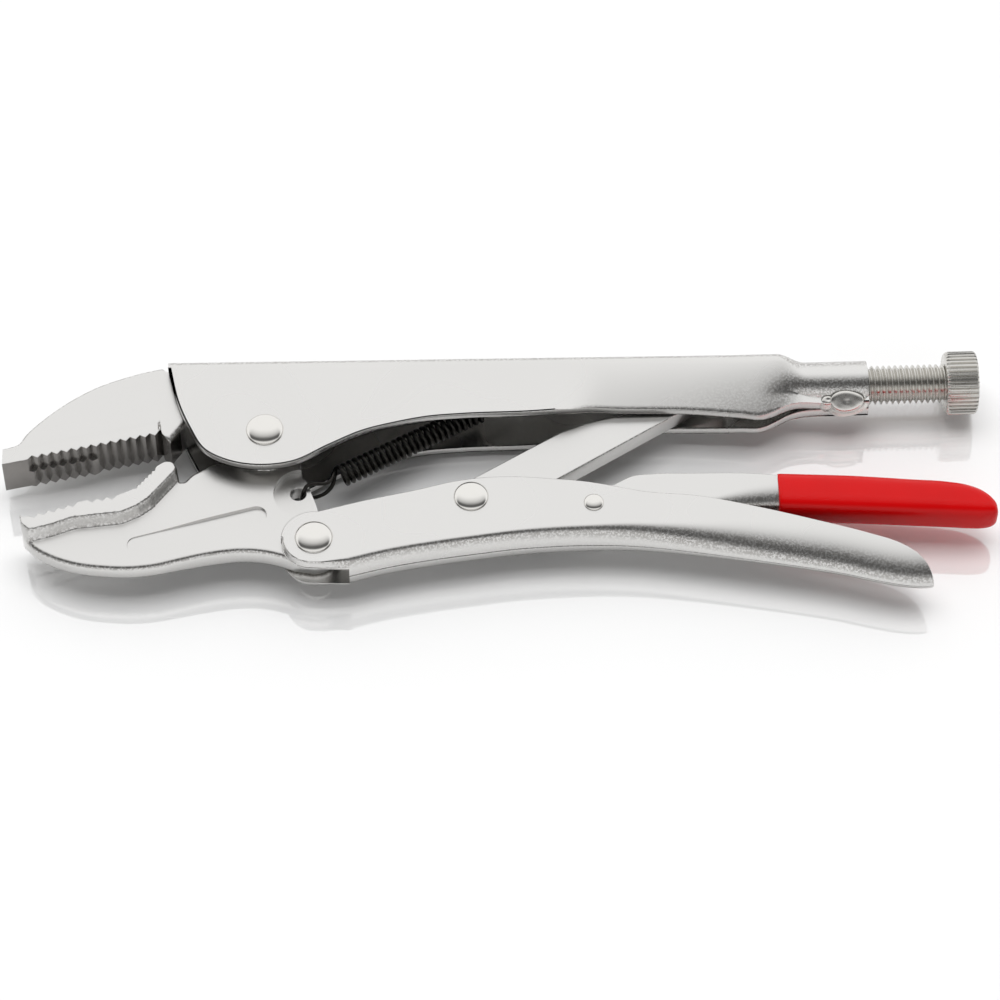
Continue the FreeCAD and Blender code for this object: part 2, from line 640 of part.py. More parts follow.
def rivet(label, place, shank, grip, profile):
    """A rivet: shank and two equal heads. grip is half the stack between the heads, profile the head's (r, z)."""
    made = body(label, place)
    rise = [(r, grip + z) for r, z in profile]
    fall = [(r, -z) for r, z in reversed(rise)]
    stem = [(0.0, rise[-1][1])] if rise[-1][0] > 0 else []
    ring = [(0.0, fall[0][1])] if fall[0][0] > 0 else []
    points = ring + fall + [(shank / 2, -grip), (shank / 2, grip)] + rise + stem
    drawing = sketch(made, "profile", polygon([Vector(r, z, 0) for r, z in points]), "XZ_Plane")
    turn = made.newObject("PartDesign::Revolution", label + "_turn")
    turn.Profile = drawing
    turn.ReferenceAxis = (drawing, ["V_Axis"])
    turn.Angle = 360
    made.Tip = turn
    return made


def dome(diameter, rise, start=0.0, steps=6):
    """A spherical cap's profile from its rim to its top."""
    half = diameter / 2
    sphere = (half * half + rise * rise) / (2 * rise)
    top = math.asin(min(half / sphere, 1.0))
    angles = [top * (1 - n / steps) for n in range(steps + 1)]
    return [(sphere * math.sin(a), start + rise - sphere * (1 - math.cos(a))) for a in angles]


flange = size("flange_diameter") / 2
large_head = [(flange, 0.0), (flange, size("flange_height"))] + dome(
    size("dome_diameter"), size("dome_height"), size("flange_height"))
rivet("main_rivet", main_pivot, size("main_shank"), half_width, large_head)
rivet("handle_rivet", handle_pivot, size("main_shank"), handle_width / 2, large_head)
rivet("toggle_rivet", toggle_pivot, size("toggle_shank"), handle_width / 2,
      dome(size("toggle_dome"), size("toggle_rise")))
rivet("release_rivet", release_pivot, size("release_shank"), handle_width / 2,
      dome(size("release_dome"), size("release_rise")))


# ---- tension spring: coil from the ear's hole to the tab, drawn as touching turns -----------------------------------

COIL_FRONT, COIL_REAR = (18.9, -9.3), (57.2, 10.8)


def spring_shape():
    wire = size("wire_diameter") / 2
    mean = size("spring_diameter") / 2 - wire
    start, end = at(*COIL_FRONT), at(*COIL_REAR)
    way = end - start
    length = way.Length
    turns = int(length / 1.6)
    pitch = length / turns
    points = [(0.0, mean - wire * 0.7)]
    for n in range(turns):
        points += [(n * pitch, mean + wire * 0.35), ((n + 0.5) * pitch, mean + wire)]
    points += [(length, mean + wire * 0.35), (length, mean - wire * 0.7)]
    wire_loop = Part.makePolygon([Vector(a, b, 0) for a, b in points + points[:1]])
    coil = Part.Face(wire_loop).revolve(Vector(0, 0, 0), Vector(1, 0, 0), 360)
    angle = math.degrees(math.atan2(way.y, way.x))
    coil.Placement = Placement(Vector(start.x, start.y, middle), Rotation(Vector(0, 0, 1), angle))
    way.normalize()
    eye = at(*SPRING_HOLE)
    front = hook([start + way * 0.6 + Vector(0, 0, mean), start - way * 1.6 + Vector(0, 0, mean + 0.7),
                  Vector(eye.x, eye.y, 3.6), Vector(eye.x, eye.y, -1.4)], wire)
    tab_x = at(TAB[0], 0).x
    tab_hole_y = size("pivot_y") + TAB[1] + TAB_HOLE
    rear = hook([end - way * 0.6 + Vector(0, 0, mean), end + way * 1.2 + Vector(0, 0, mean * 0.6),
                 Vector(tab_x - 0.8, tab_hole_y, 0.2), Vector(tab_x + wall * 0.8, tab_hole_y, 0)], wire)
    return coil.fuse([front, rear])


def hook(points, radius):
    """Wire end: straight runs with a ball at each bend, about the tool's middle plane."""
    lift = Vector(0, 0, middle)
    runs = []
    for a, b in zip(points, points[1:]):
        runs.append(Part.makeCylinder(radius, a.distanceToPoint(b), a + lift, b - a))
        runs.append(Part.makeSphere(radius, b + lift))
    return runs[0].fuse(runs[1:])


feature("tension_spring", spring_shape())


# ---- adjusting screw and knob ---------------------------------------------------------------------------------------

THREAD_FRONT = 139.5


def screw_profile():
    """Half section of the screw along its axis: thrust tip, thread in V grooves, plain end in the knob."""
    tip = nose_centre.x + NOSE_RADIUS + size("thrust_gap")
    front = at(THREAD_FRONT, 0).x
    rear = tube_end_x + size("knob_gap")
    major, root = size("thread_diameter") / 2, size("thread_diameter") / 2 - size("thread_depth")
    thrust = size("thrust_diameter") / 2
    points = [(tip, 0.0), (tip, thrust - 0.5), (tip + 0.5, thrust), (front - 1.0, thrust), (front, root)]
    pitch = size("thread_pitch")
    for n in range(int((rear - front - 1.5) / pitch)):
        reach = front + n * pitch
        points += [(reach + pitch * 0.44, major), (reach + pitch * 0.56, major), (reach + pitch, root)]
    points += [(rear, root), (rear, 0.0)]
    return points


def turned(label, points, expression_y):
    """A piece revolved about the screw's axis; points are (x, radius)."""
    made = body(label, Vector(0, screw_y, 0))
    made.setExpression(".Placement.Base.y", expression_y)
    drawing = sketch(made, "profile", polygon([Vector(x, r, 0) for x, r in points]))
    turn = made.newObject("PartDesign::Revolution", label + "_turn")
    turn.Profile = drawing
    turn.ReferenceAxis = (drawing, ["H_Axis"])
    turn.Angle = 360
    made.Tip = turn
    return made


SCREW_Y = "Sizes.pivot_y + Sizes.screw_rise"
turned("adjusting_screw", screw_profile(), SCREW_Y)


def knob_shape():
    """Straight-knurled knob: a fluted disc with both rims chamfered."""
    flutes = 36
    radius = size("knob_diameter") / 2
    width = size("knob_width")
    start = tube_end_x + size("knob_gap")
    step = 2 * math.pi / flutes
    ring = []
    for n in range(flutes):
        for share, r in ((-0.3, radius), (0.3, radius), (0.5, radius - size("flute_depth"))):
            angle = (n + share) * step
            ring.append(Vector(start, screw_y + r * math.cos(angle), middle + r * math.sin(angle)))
    disc = Part.Face(Part.makePolygon(ring + ring[:1])).extrude(Vector(width, 0, 0))
    rim = size("knob_chamfer")
    half_section = [(0, 0), (0, radius - rim), (rim, radius), (width - rim, radius), (width, radius - rim), (width, 0)]
    face = Part.Face(Part.makePolygon([Vector(start + x, screw_y + r, middle) for x, r in
                                       half_section + half_section[:1]]))
    turned_blank = face.revolve(Vector(start, screw_y, middle), Vector(1, 0, 0), 360)
    return disc.common(turned_blank)


feature("knurled_knob", knob_shape())

# ---- check and write ------------------------------------------------------------------------------------------------

doc.recompute()
for obj in doc.Objects:
    if {"Invalid", "Error"} & set(obj.State):
        raise RuntimeError(f"{obj.Name} failed: {obj.State}")
NODES = [o for o in doc.Objects if o.TypeId in ("PartDesign::Body", "Part::Feature")]
for obj in NODES:
    if obj.Shape.isNull() or not obj.Shape.isValid() or not obj.Shape.Solids:
        raise RuntimeError(f"{obj.Label} has no valid solid")
os.makedirs("parts", exist_ok=True)
for obj in NODES:
    obj.Shape.exportStep(f"parts/{obj.Label}.step")
    box = obj.Shape.BoundBox
    print(f"{obj.Label}: {len(obj.Shape.Solids)} solid, {obj.Shape.Volume:.0f} mm3, "
          f"x {box.XMin:.1f} {box.XMax:.1f} y {box.YMin:.1f} {box.YMax:.1f} z {box.ZMin:.1f} {box.ZMax:.1f}")
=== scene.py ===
import json
import math

import bmesh
import bpy
import numpy as np
from mathutils import Matrix, Vector


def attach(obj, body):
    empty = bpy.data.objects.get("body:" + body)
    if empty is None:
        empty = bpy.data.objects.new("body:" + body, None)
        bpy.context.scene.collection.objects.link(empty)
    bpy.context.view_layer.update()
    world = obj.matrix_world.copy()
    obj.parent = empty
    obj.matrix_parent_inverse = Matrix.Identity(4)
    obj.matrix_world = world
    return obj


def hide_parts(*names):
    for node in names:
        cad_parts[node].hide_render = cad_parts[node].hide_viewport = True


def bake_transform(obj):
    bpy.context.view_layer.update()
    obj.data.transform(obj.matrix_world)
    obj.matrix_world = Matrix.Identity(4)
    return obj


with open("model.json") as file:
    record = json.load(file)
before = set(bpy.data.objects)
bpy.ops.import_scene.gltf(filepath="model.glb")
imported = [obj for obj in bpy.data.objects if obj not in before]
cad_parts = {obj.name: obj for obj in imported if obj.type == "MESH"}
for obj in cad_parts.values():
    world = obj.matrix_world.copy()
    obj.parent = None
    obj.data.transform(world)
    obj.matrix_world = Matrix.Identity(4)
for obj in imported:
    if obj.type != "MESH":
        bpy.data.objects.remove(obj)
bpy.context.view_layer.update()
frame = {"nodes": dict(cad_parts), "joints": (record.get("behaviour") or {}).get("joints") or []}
nodes = frame["nodes"]
joints = {joint["name"]: joint for joint in frame["joints"]}

# Shapes are drawn in millimetres about the main pivot, with z about the tool's middle plane.
pivot = np.array(joints["jaw_pivot"]["pos_m"]) * 1000


# A joint's place along and up the tool: its own less the main pivot's.
def aboutPivot(joint):
    return np.array(joints[joint]["pos_m"])[:2] * 1000 - pivot[:2]


handleCentre = aboutPivot("handle_pivot")
toggleCentre = aboutPivot("link_pivot")
releaseCentre = aboutPivot("release_pivot")
screwY = aboutPivot("knob_turn")[1]
print("frame loaded:", len(nodes), "nodes")


# Curves and surfaces as whole arrays

# Smoothstep: 0 below low, 1 above high, and 3t^2 - 2t^3 between.
def ramp(value, low, high):
    t = np.clip((value - low) / (high - low), 0, 1)
    return t * t * (3 - 2 * t)


# 1 - cos(t) for t from 0 to the end: steps that start close together.
def easedSteps(count, end=math.pi / 2):
    return 1 - np.cos(np.linspace(0, end, count))


# Smooth line through points: cubic pieces whose slope at each point is that of its neighbours.
def through(points, count):
    p = np.asarray(points, float)
    s = np.concatenate([[0], np.cumsum(np.linalg.norm(np.diff(p, axis=0), axis=1))])
    slope = np.gradient(p, s, axis=0)
    t = np.linspace(0, s[-1], count)
    k = np.clip(np.searchsorted(s, t, side="right") - 1, 0, len(p) - 2)
    step = (s[k + 1] - s[k])[:, None]
    u = (t - s[k])[:, None] / step
    return ((2 * u**3 - 3 * u**2 + 1) * p[k] + (u**3 - 2 * u**2 + u) * step * slope[k]
            + (3 * u**2 - 2 * u**3) * p[k + 1] + (u**3 - u**2) * step * slope[k + 1])


# Height of a left-to-right line of points at each x, by straight runs.
def heightAt(line, x):
    line = np.asarray(line, float)
    return np.interp(x, line[:, 0], line[:, 1])


# The points (x, height) of such a line at the stations.
def readAt(line, stations):
    return np.stack([stations, heightAt(line, stations)], 1)


# Arc: centre + radius * (cos, sin) at evenly spaced angles.
def arcAbout(centre, radius, start, stop, count):
    turn = np.linspace(start, stop, count)
    return np.asarray(centre) + radius * np.stack([np.cos(turn), np.sin(turn)], 1)


# x and y of lower + share * (upper - lower), with a column for each share.
def between(lower, upper, share):
    points = lower[:, None] + (upper - lower)[:, None] * share[:, None]
    return points[..., 0], points[..., 1]


# A height or a rim that is the same everywhere.
def level(value):
    return lambda x, y: value + 0 * x


# Distance of each point from a line of points: the least distance to its straight runs.
def distanceTo(line, x, y):
    start, end = line[:-1], line[1:]
    way = end - start
    length = np.maximum((way**2).sum(1), 1e-12)
    flat = np.stack([x.ravel(), y.ravel()], 1)
    result = np.empty(len(flat))
    for chunk in np.array_split(np.arange(len(flat)), max(1, len(flat) * len(start) // 4_000_000 + 1)):
        off = flat[chunk, None, :] - start[None]
        t = np.clip((off * way).sum(2) / length, 0, 1)
        result[chunk] = np.sqrt(((off - t[..., None] * way)**2).sum(2).min(1))
    return result.reshape(x.shape)


# How far a rounded rim of that radius lies below the face, at a distance in from the edge: a quarter circle.
def rimDrop(distance, radius):
    inward = np.clip(distance, 0, radius)
    return radius - np.sqrt(np.maximum(radius**2 - (radius - inward)**2, 0))


# Quads of a grid whose rows follow each other in the vertex list.
def gridFaces(rows, cols, first=0, ring=False):
    i, j = np.meshgrid(np.arange(rows - 1), np.arange(cols if ring else cols - 1), indexing="ij")
    a, b = i * cols + j, i * cols + (j + 1) % cols
    return (np.stack([a, b, b + cols, a + cols], -1).reshape(-1, 4) + first).tolist()


# Evenly spaced angles once round.
def wholeTurn(steps):
    return np.linspace(0, 2 * math.pi, steps, endpoint=False)


# Closed rings, one for each row of x, y and z.
def ringSurface(x, y, z):
    points = np.stack(np.broadcast_arrays(x, y, z), -1)
    return points.reshape(-1, 3), gridFaces(*points.shape[:2], ring=True)


# Doubles merged, faces without area dissolved, then all faces turned outwards.
def cleanUp(mesh):
    work = bmesh.new()
    work.from_mesh(mesh)
    bmesh.ops.remove_doubles(work, verts=work.verts, dist=4e-6)
    bmesh.ops.dissolve_degenerate(work, edges=work.edges, dist=1e-6)
    bmesh.ops.recalc_face_normals(work, faces=work.faces)
    work.to_mesh(mesh)
    work.free()


# A mesh in metres: (point + pivot) / 1000, cleaned up.
def newMesh(name, points, faces):
    mesh = bpy.data.meshes.new(name)
    mesh.from_pydata(((np.asarray(points, float) + pivot) * 0.001).tolist(), [], faces)
    cleanUp(mesh)
    return mesh


# Smooth shading, with edges sharp past an angle in degrees.
def shade(mesh, sharp):
    mesh.shade_smooth()
    mesh.set_sharp_from_angle(angle=math.radians(sharp))


def addObject(name, data):
    thing = bpy.data.objects.new(name, data)
    bpy.context.scene.collection.objects.link(thing)
    return thing


# A closed piece that moves with a body and stands for CAD nodes.
def makePiece(name, points, faces, material, sharp, body=None, replaces=(), slot=None):
    mesh = newMesh(name, points, faces)
    mesh.materials.append(material)
    shade(mesh, sharp)
    piece = addObject(name, mesh)
    if body:
        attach(piece, body)
    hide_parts(*replaces)
    return piece


# Plate between a lower and an upper line of points, both run left to right over the same stations. Each sheet is
# a height over the plane: top and bottom give it from x and y, less a rounded rim along both lines.
def plateSurface(lower, upper, top, bottom, lowerRim, upperRim, across=64, even=False):
    x, y = between(lower, upper, np.linspace(0, 1, across) if even else easedSteps(across, math.pi) / 2)
    drop = rimDrop(distanceTo(lower, x, y), lowerRim(x, y)) + rimDrop(distanceTo(upper, x, y), upperRim(x, y))
    high, low = top(x, y) - drop, bottom(x, y) + drop
    high = np.maximum(high, low + 0.05)
    rows, cols = x.shape
    points = np.concatenate([np.stack([x, y, sheet], -1).reshape(-1, 3) for sheet in (high, low)])
    faces = gridFaces(rows, cols) + gridFaces(rows, cols, rows * cols)
    index = np.arange(rows * cols).reshape(rows, cols)
    for edge in (index[:, 0], index[:, -1], index[0, :], index[-1, :]):
        other = edge + rows * cols
        faces += np.stack([edge[:-1], edge[1:], other[1:], other[:-1]], -1).tolist()
    return points, faces


# Zigzag from start to end: crests on the line, roots one depth to its left.
def toothLine(start, end, pitch, depth, phase=0.0):
    start, end = np.asarray(start, float), np.asarray(end, float)
    length = np.linalg.norm(end - start)
    way = (end - start) / length
    left = np.array([-way[1], way[0]])
    count = int(length / pitch - phase)
    crest = (np.arange(count + 1) + phase) * pitch
    along = np.concatenate([crest, crest[:-1] + pitch / 2])
    depths = np.concatenate([np.zeros(count + 1), np.full(count, depth)])
    order = np.argsort(along)
    return start + along[order, None] * way + depths[order, None] * left


# Profile carried round the Z axis: rows are (radius, z), and each gives centre + radius * (cos, sin).
def turnedSurface(profile, centre, steps=96):
    radius, z = np.asarray(profile, float).T[..., None]
    angle = wholeTurn(steps)
    return ringSurface(centre[0] + radius * np.cos(angle), centre[1] + radius * np.sin(angle), z)


# Tube of one radius along a line of points: circles square to the line, turned as little as possible.
def wireSurface(line, radius, around=12):
    way = np.gradient(line, axis=0)
    way /= np.linalg.norm(way, axis=1)[:, None]
    side = np.cross(way, np.array([0.13, 0.21, 1.0]))
    side /= np.linalg.norm(side, axis=1)[:, None]
    third = np.cross(way, side)
    angle = wholeTurn(around)
    ring = side[:, None] * np.cos(angle)[None, :, None] + third[:, None] * np.sin(angle)[None, :, None]
    last = (len(line) - 1) * around
    faces = gridFaces(len(line), around, ring=True) + [list(range(around)), list(range(last, last + around))]
    return (line[:, None] + radius * ring).reshape(-1, 3), faces


# Several surfaces as one: the faces of each count on from the points before it.
def joined(*surfaces):
    points, faces, first = [], [], 0
    for somePoints, someFaces in surfaces:
        points.append(somePoints)
        faces += [[index + first for index in face] for face in someFaces]
        first += len(somePoints)
    return np.concatenate(points), faces


# Materials

# sRGB hex to linear: c / 12.92 near black, and ((c + 0.055) / 1.055) to the power 2.4 above.
def colour(code):
    parts = [int(code[k:k + 2], 16) / 255 for k in (1, 3, 5)]
    return [c / 12.92 if c <= 0.04045 else ((c + 0.055) / 1.055)**2.4 for c in parts] + [1.0]


# Sets a node's sockets, and links those that are given another node's output. A socket goes by its name, with _ for
# a space, or by i and its number.
def setSockets(node, **sockets):
    for key, value in sockets.items():
        socket = node.inputs[int(key[1:]) if key[1:].isdigit() else key.replace("_", " ")]
        if isinstance(value, bpy.types.NodeSocket):
            node.id_data.links.new(value, socket)
        else:
            socket.default_value = value


# Adds a node with its properties, sockets and links, and gives back one of its outputs.
def addNode(tree, kind, settings=(), out=0, **sockets):
    node = tree.nodes.new(kind)
    for name, value in dict(settings).items():
        setattr(node, name, value)
    setSockets(node, **sockets)
    return node.outputs[out] if node.outputs else node


# A principled material, and its tree, its shader and the place on the piece in metres.
def newMaterial(name, metallic, roughness, base):
    material = bpy.data.materials.new(name)
    material.use_nodes = True
    tree = material.node_tree
    tree.nodes.clear()
    shader = addNode(tree, "ShaderNodeBsdfPrincipled", Metallic=metallic, Roughness=roughness, Base_Color=colour(base))
    addNode(tree, "ShaderNodeOutputMaterial", Surface=shader)
    return material, tree, shader.node, addNode(tree, "ShaderNodeTexCoord", out="Object")


smoothSteps = {"interpolation_type": "SMOOTHSTEP"}
product = {"operation": "MULTIPLY"}
colourMix = {"data_type": "RGBA"}


# Nickel plate over steel. Flat faces are ground before plating and stay smooth; where a face turns away from Z, over
# bends and rims, the grain of the pressing or the tumbling stays and breaks the reflection up.
def nickelPlate(name, own):
    material, tree, shader, place = newMaterial(name, 1.0, own["roughness"], own["colour"])
    normal = addNode(tree, "ShaderNodeNewGeometry", out="Normal")
    upright = addNode(tree, "ShaderNodeSeparateXYZ", out="Z", Vector=normal)
    flat = addNode(tree, "ShaderNodeMath", {"operation": "ABSOLUTE"}, i0=upright)
    leaving = addNode(tree, "ShaderNodeMapRange", smoothSteps, i0=flat, i1=0.985, i2=0.90)
    staying = addNode(tree, "ShaderNodeMapRange", smoothSteps, i0=flat, i1=0.25, i2=0.62,
                      i3=own["sideShare"])
    turned = addNode(tree, "ShaderNodeMath", product, i0=leaving, i1=staying)
    grain = addNode(tree, "ShaderNodeTexNoise", Vector=place, Scale=1000 / own["grain"], Detail=2.0)
    peel = addNode(tree, "ShaderNodeTexNoise", Vector=place, Scale=1000 / own["peel"], Detail=0.0)
    cloud = addNode(tree, "ShaderNodeTexNoise", Vector=place, Scale=1000 / own["cloud"], Detail=0.0)
    rough = addNode(tree, "ShaderNodeMapRange", i0=cloud, i1=0.2, i2=0.8, i3=own["roughness"] - 0.02,
                    i4=own["roughness"] + 0.02)
    strength = addNode(tree, "ShaderNodeMath", product, i0=turned, i1=own["sideBump"])
    fine = addNode(tree, "ShaderNodeBump", Strength=strength, Distance=own["grain"] * 0.0004,
                   Height=grain)
    soft = addNode(tree, "ShaderNodeBump", Strength=own["peelBump"], Distance=0.0004, Height=peel,
                   Normal=fine)
    pits = addNode(tree, "ShaderNodeMapRange", i0=grain, i1=0.62, i2=0.44)
    amount = addNode(tree, "ShaderNodeMath", product, i0=pits, i1=turned)
    tint = addNode(tree, "ShaderNodeMix", colourMix, 2, i0=amount, i6=colour(own["colour"]),
                   i7=colour(own["pitColour"]))
    setSockets(shader, Roughness=rough, Normal=soft, Base_Color=tint)
    return material


# Pressed sheet, ground and satin nickel plated: smooth faces, orange peel on the bends about 0.5 mm across.
sheetNickel = nickelPlate("satinNickelPlatedSheet", {
    "colour": "#DDDCDA", "pitColour": "#B4B2AF", "roughness": 0.27, "sideShare": 0.12,
    "grain": 0.55, "peel": 6.0, "cloud": 20.0, "sideBump": 0.21, "peelBump": 0.012})
# Drop-forged and tumbled steel under the same plate: rounded, sandy sides.
forgedNickel = nickelPlate("satinNickelPlatedForging", {
    "colour": "#DDDCDA", "pitColour": "#A8A6A3", "roughness": 0.29, "sideShare": 0.06,
    "grain": 0.6, "peel": 6.0, "cloud": 20.0, "sideBump": 0.22, "peelBump": 0.015})


# Bright nickel on small turned and headed parts: nearly mirror, with faint tool marks about 2.5 mm long.
def brightNickel(name, base, roughness, strength):
    material, tree, shader, place = newMaterial(name, 1.0, roughness, base)
    cloud = addNode(tree, "ShaderNodeTexNoise", Vector=place, Scale=1000 / 2.5, Detail=3.0, Roughness=0.6)
    rough = addNode(tree, "ShaderNodeMapRange", i0=cloud, i1=0.3, i2=0.7, i3=roughness * 0.7,
                    i4=roughness * 1.4)
    bump = addNode(tree, "ShaderNodeBump", Strength=strength, Distance=0.0001, Height=cloud)
    setSockets(shader, Roughness=rough, Normal=bump)
    return material


rivetNickel = brightNickel("brightNickelPlatedRivet", "#E4E2DE", 0.12, 0.10)
screwNickel = brightNickel("brightNickelPlatedScrew", "#CFCDC8", 0.22, 0.25)
weldNickel = brightNickel("platedWeldBead", "#DDDBD7", 0.24, 0.35)


# Tooth flanks cut after forging: bare steel with cutter marks 0.5 mm apart that run along Z, its colour darkened as
# painted shade for the shade these flanks face.
def cutSteelAndShade():
    material, tree, shader, place = newMaterial("machinedToothSteelAndPaintedShade", 1.0, 0.24, "#8F8C89")
    marks = addNode(tree, "ShaderNodeMapping", Vector=place, Scale=(1.0, 1.0, 0.08))
    cuts = addNode(tree, "ShaderNodeTexNoise", Vector=marks, Scale=1000 / 0.5, Detail=2.0, Roughness=0.6)
    setSockets(shader, Normal=addNode(tree, "ShaderNodeBump", Strength=0.25, Distance=0.0001, Height=cuts))
    return material


# Blackened spring wire: oxide over drawn steel, a little glossy from its oil, in patches about 1.2 mm across.
def blackWire():
    material, tree, shader, place = newMaterial("blackenedSpringWire", 1.0, 0.32, "#3A3836")
    cloud = addNode(tree, "ShaderNodeTexNoise", Vector=place, Scale=1000 / 1.2, Detail=3.0, Roughness=0.6)
    tint = addNode(tree, "ShaderNodeMix", colourMix, 2, i0=cloud, i6=colour("#262524"), i7=colour("#4A4845"))
    setSockets(shader, Base_Color=tint)
    return material


# Dipped vinyl: saturated red under a smooth wet-looking skin, with slow waves 9 mm long from the dipping.
def dippedVinyl():
    material, tree, shader, place = newMaterial("dippedRedVinyl", 0.0, 0.22, "#CC0205")
    wave = addNode(tree, "ShaderNodeTexNoise", Vector=place, Scale=1000 / 9.0, Detail=2.0)
    skin = addNode(tree, "ShaderNodeTexNoise", Vector=place, Scale=1000 / 0.6, Detail=2.0)
    slow = addNode(tree, "ShaderNodeBump", Strength=0.12, Distance=0.001, Height=wave)
    fine = addNode(tree, "ShaderNodeBump", Strength=0.04, Distance=0.0001, Height=skin, Normal=slow)
    tint = addNode(tree, "ShaderNodeMix", colourMix, 2, i0=wave, i6=colour("#C40204"), i7=colour("#D00306"))
    setSockets(shader, Normal=fine, Base_Color=tint, Specular_IOR_Level=0.22)
    return material


# Darker tooth steel: machined steel with painted shade in its colour.
toothSteelAndShade = cutSteelAndShade()
wireBlack = blackWire()
redVinyl = dippedVinyl()
print("materials made")


# Upper arm: one sheet bent to a channel, pinched behind the middle, rolled round the screw at the rear

arm = {
    "halfWidth": 8.0, "wall": 2.0, "bend": 3.0, "innerBend": 0.7, "pinchFrom": 74.0, "pinchTo": 88.5,
    "pinchFoot": 4.0, "pinchMost": 1.6, "pinchPower": 1.35, "tubeRadius": 6.31, "boreRadius": 5.1, "keelHalf": 2.8,
    "keelGap": 0.04, "keelBottom": 7.49, "front": -24.6, "squareFrom": 12.0, "levelFrom": 119.0, "backFront": 23.9,
    "backRear": 21.51, "rim": 0.4, "rimTurns": [0.0, 0.35, 0.7, 1.05, 1.45], "tubeTurns": (0.15, 1.25),
    "roll": (130.5, 138.0), "lipRoll": (124.0, 142.0),
    "pinch": [(74.0, 5.2), (88.5, 5.2), (108.0, 4.75), (127.5, 3.9), (141.0, 2.9)],
    "edge": [(-24.6, 20.9), (-23.9, 16.8), (-22.6, 10.4), (-19.4, 1.4), (-15.4, -6.0), (-8.7, -10.0), (-0.2, -11.5),
             (7.0, -10.6), (16.4, -5.6), (24.7, -1.5), (33.0, 0.8), (41.5, 2.4), (49.2, 2.9), (69.5, 3.3), (77.0, 3.9),
             (83.5, 5.2), (91.6, 5.1), (108.0, 4.6), (120.0, 3.7), (127.0, 3.25), (129.6, 3.9), (134.8, 6.6),
             (138.0, 7.9), (141.0, 8.3), (144.0, 7.8), (147.0, 7.5), (153.6, 7.49)],
}


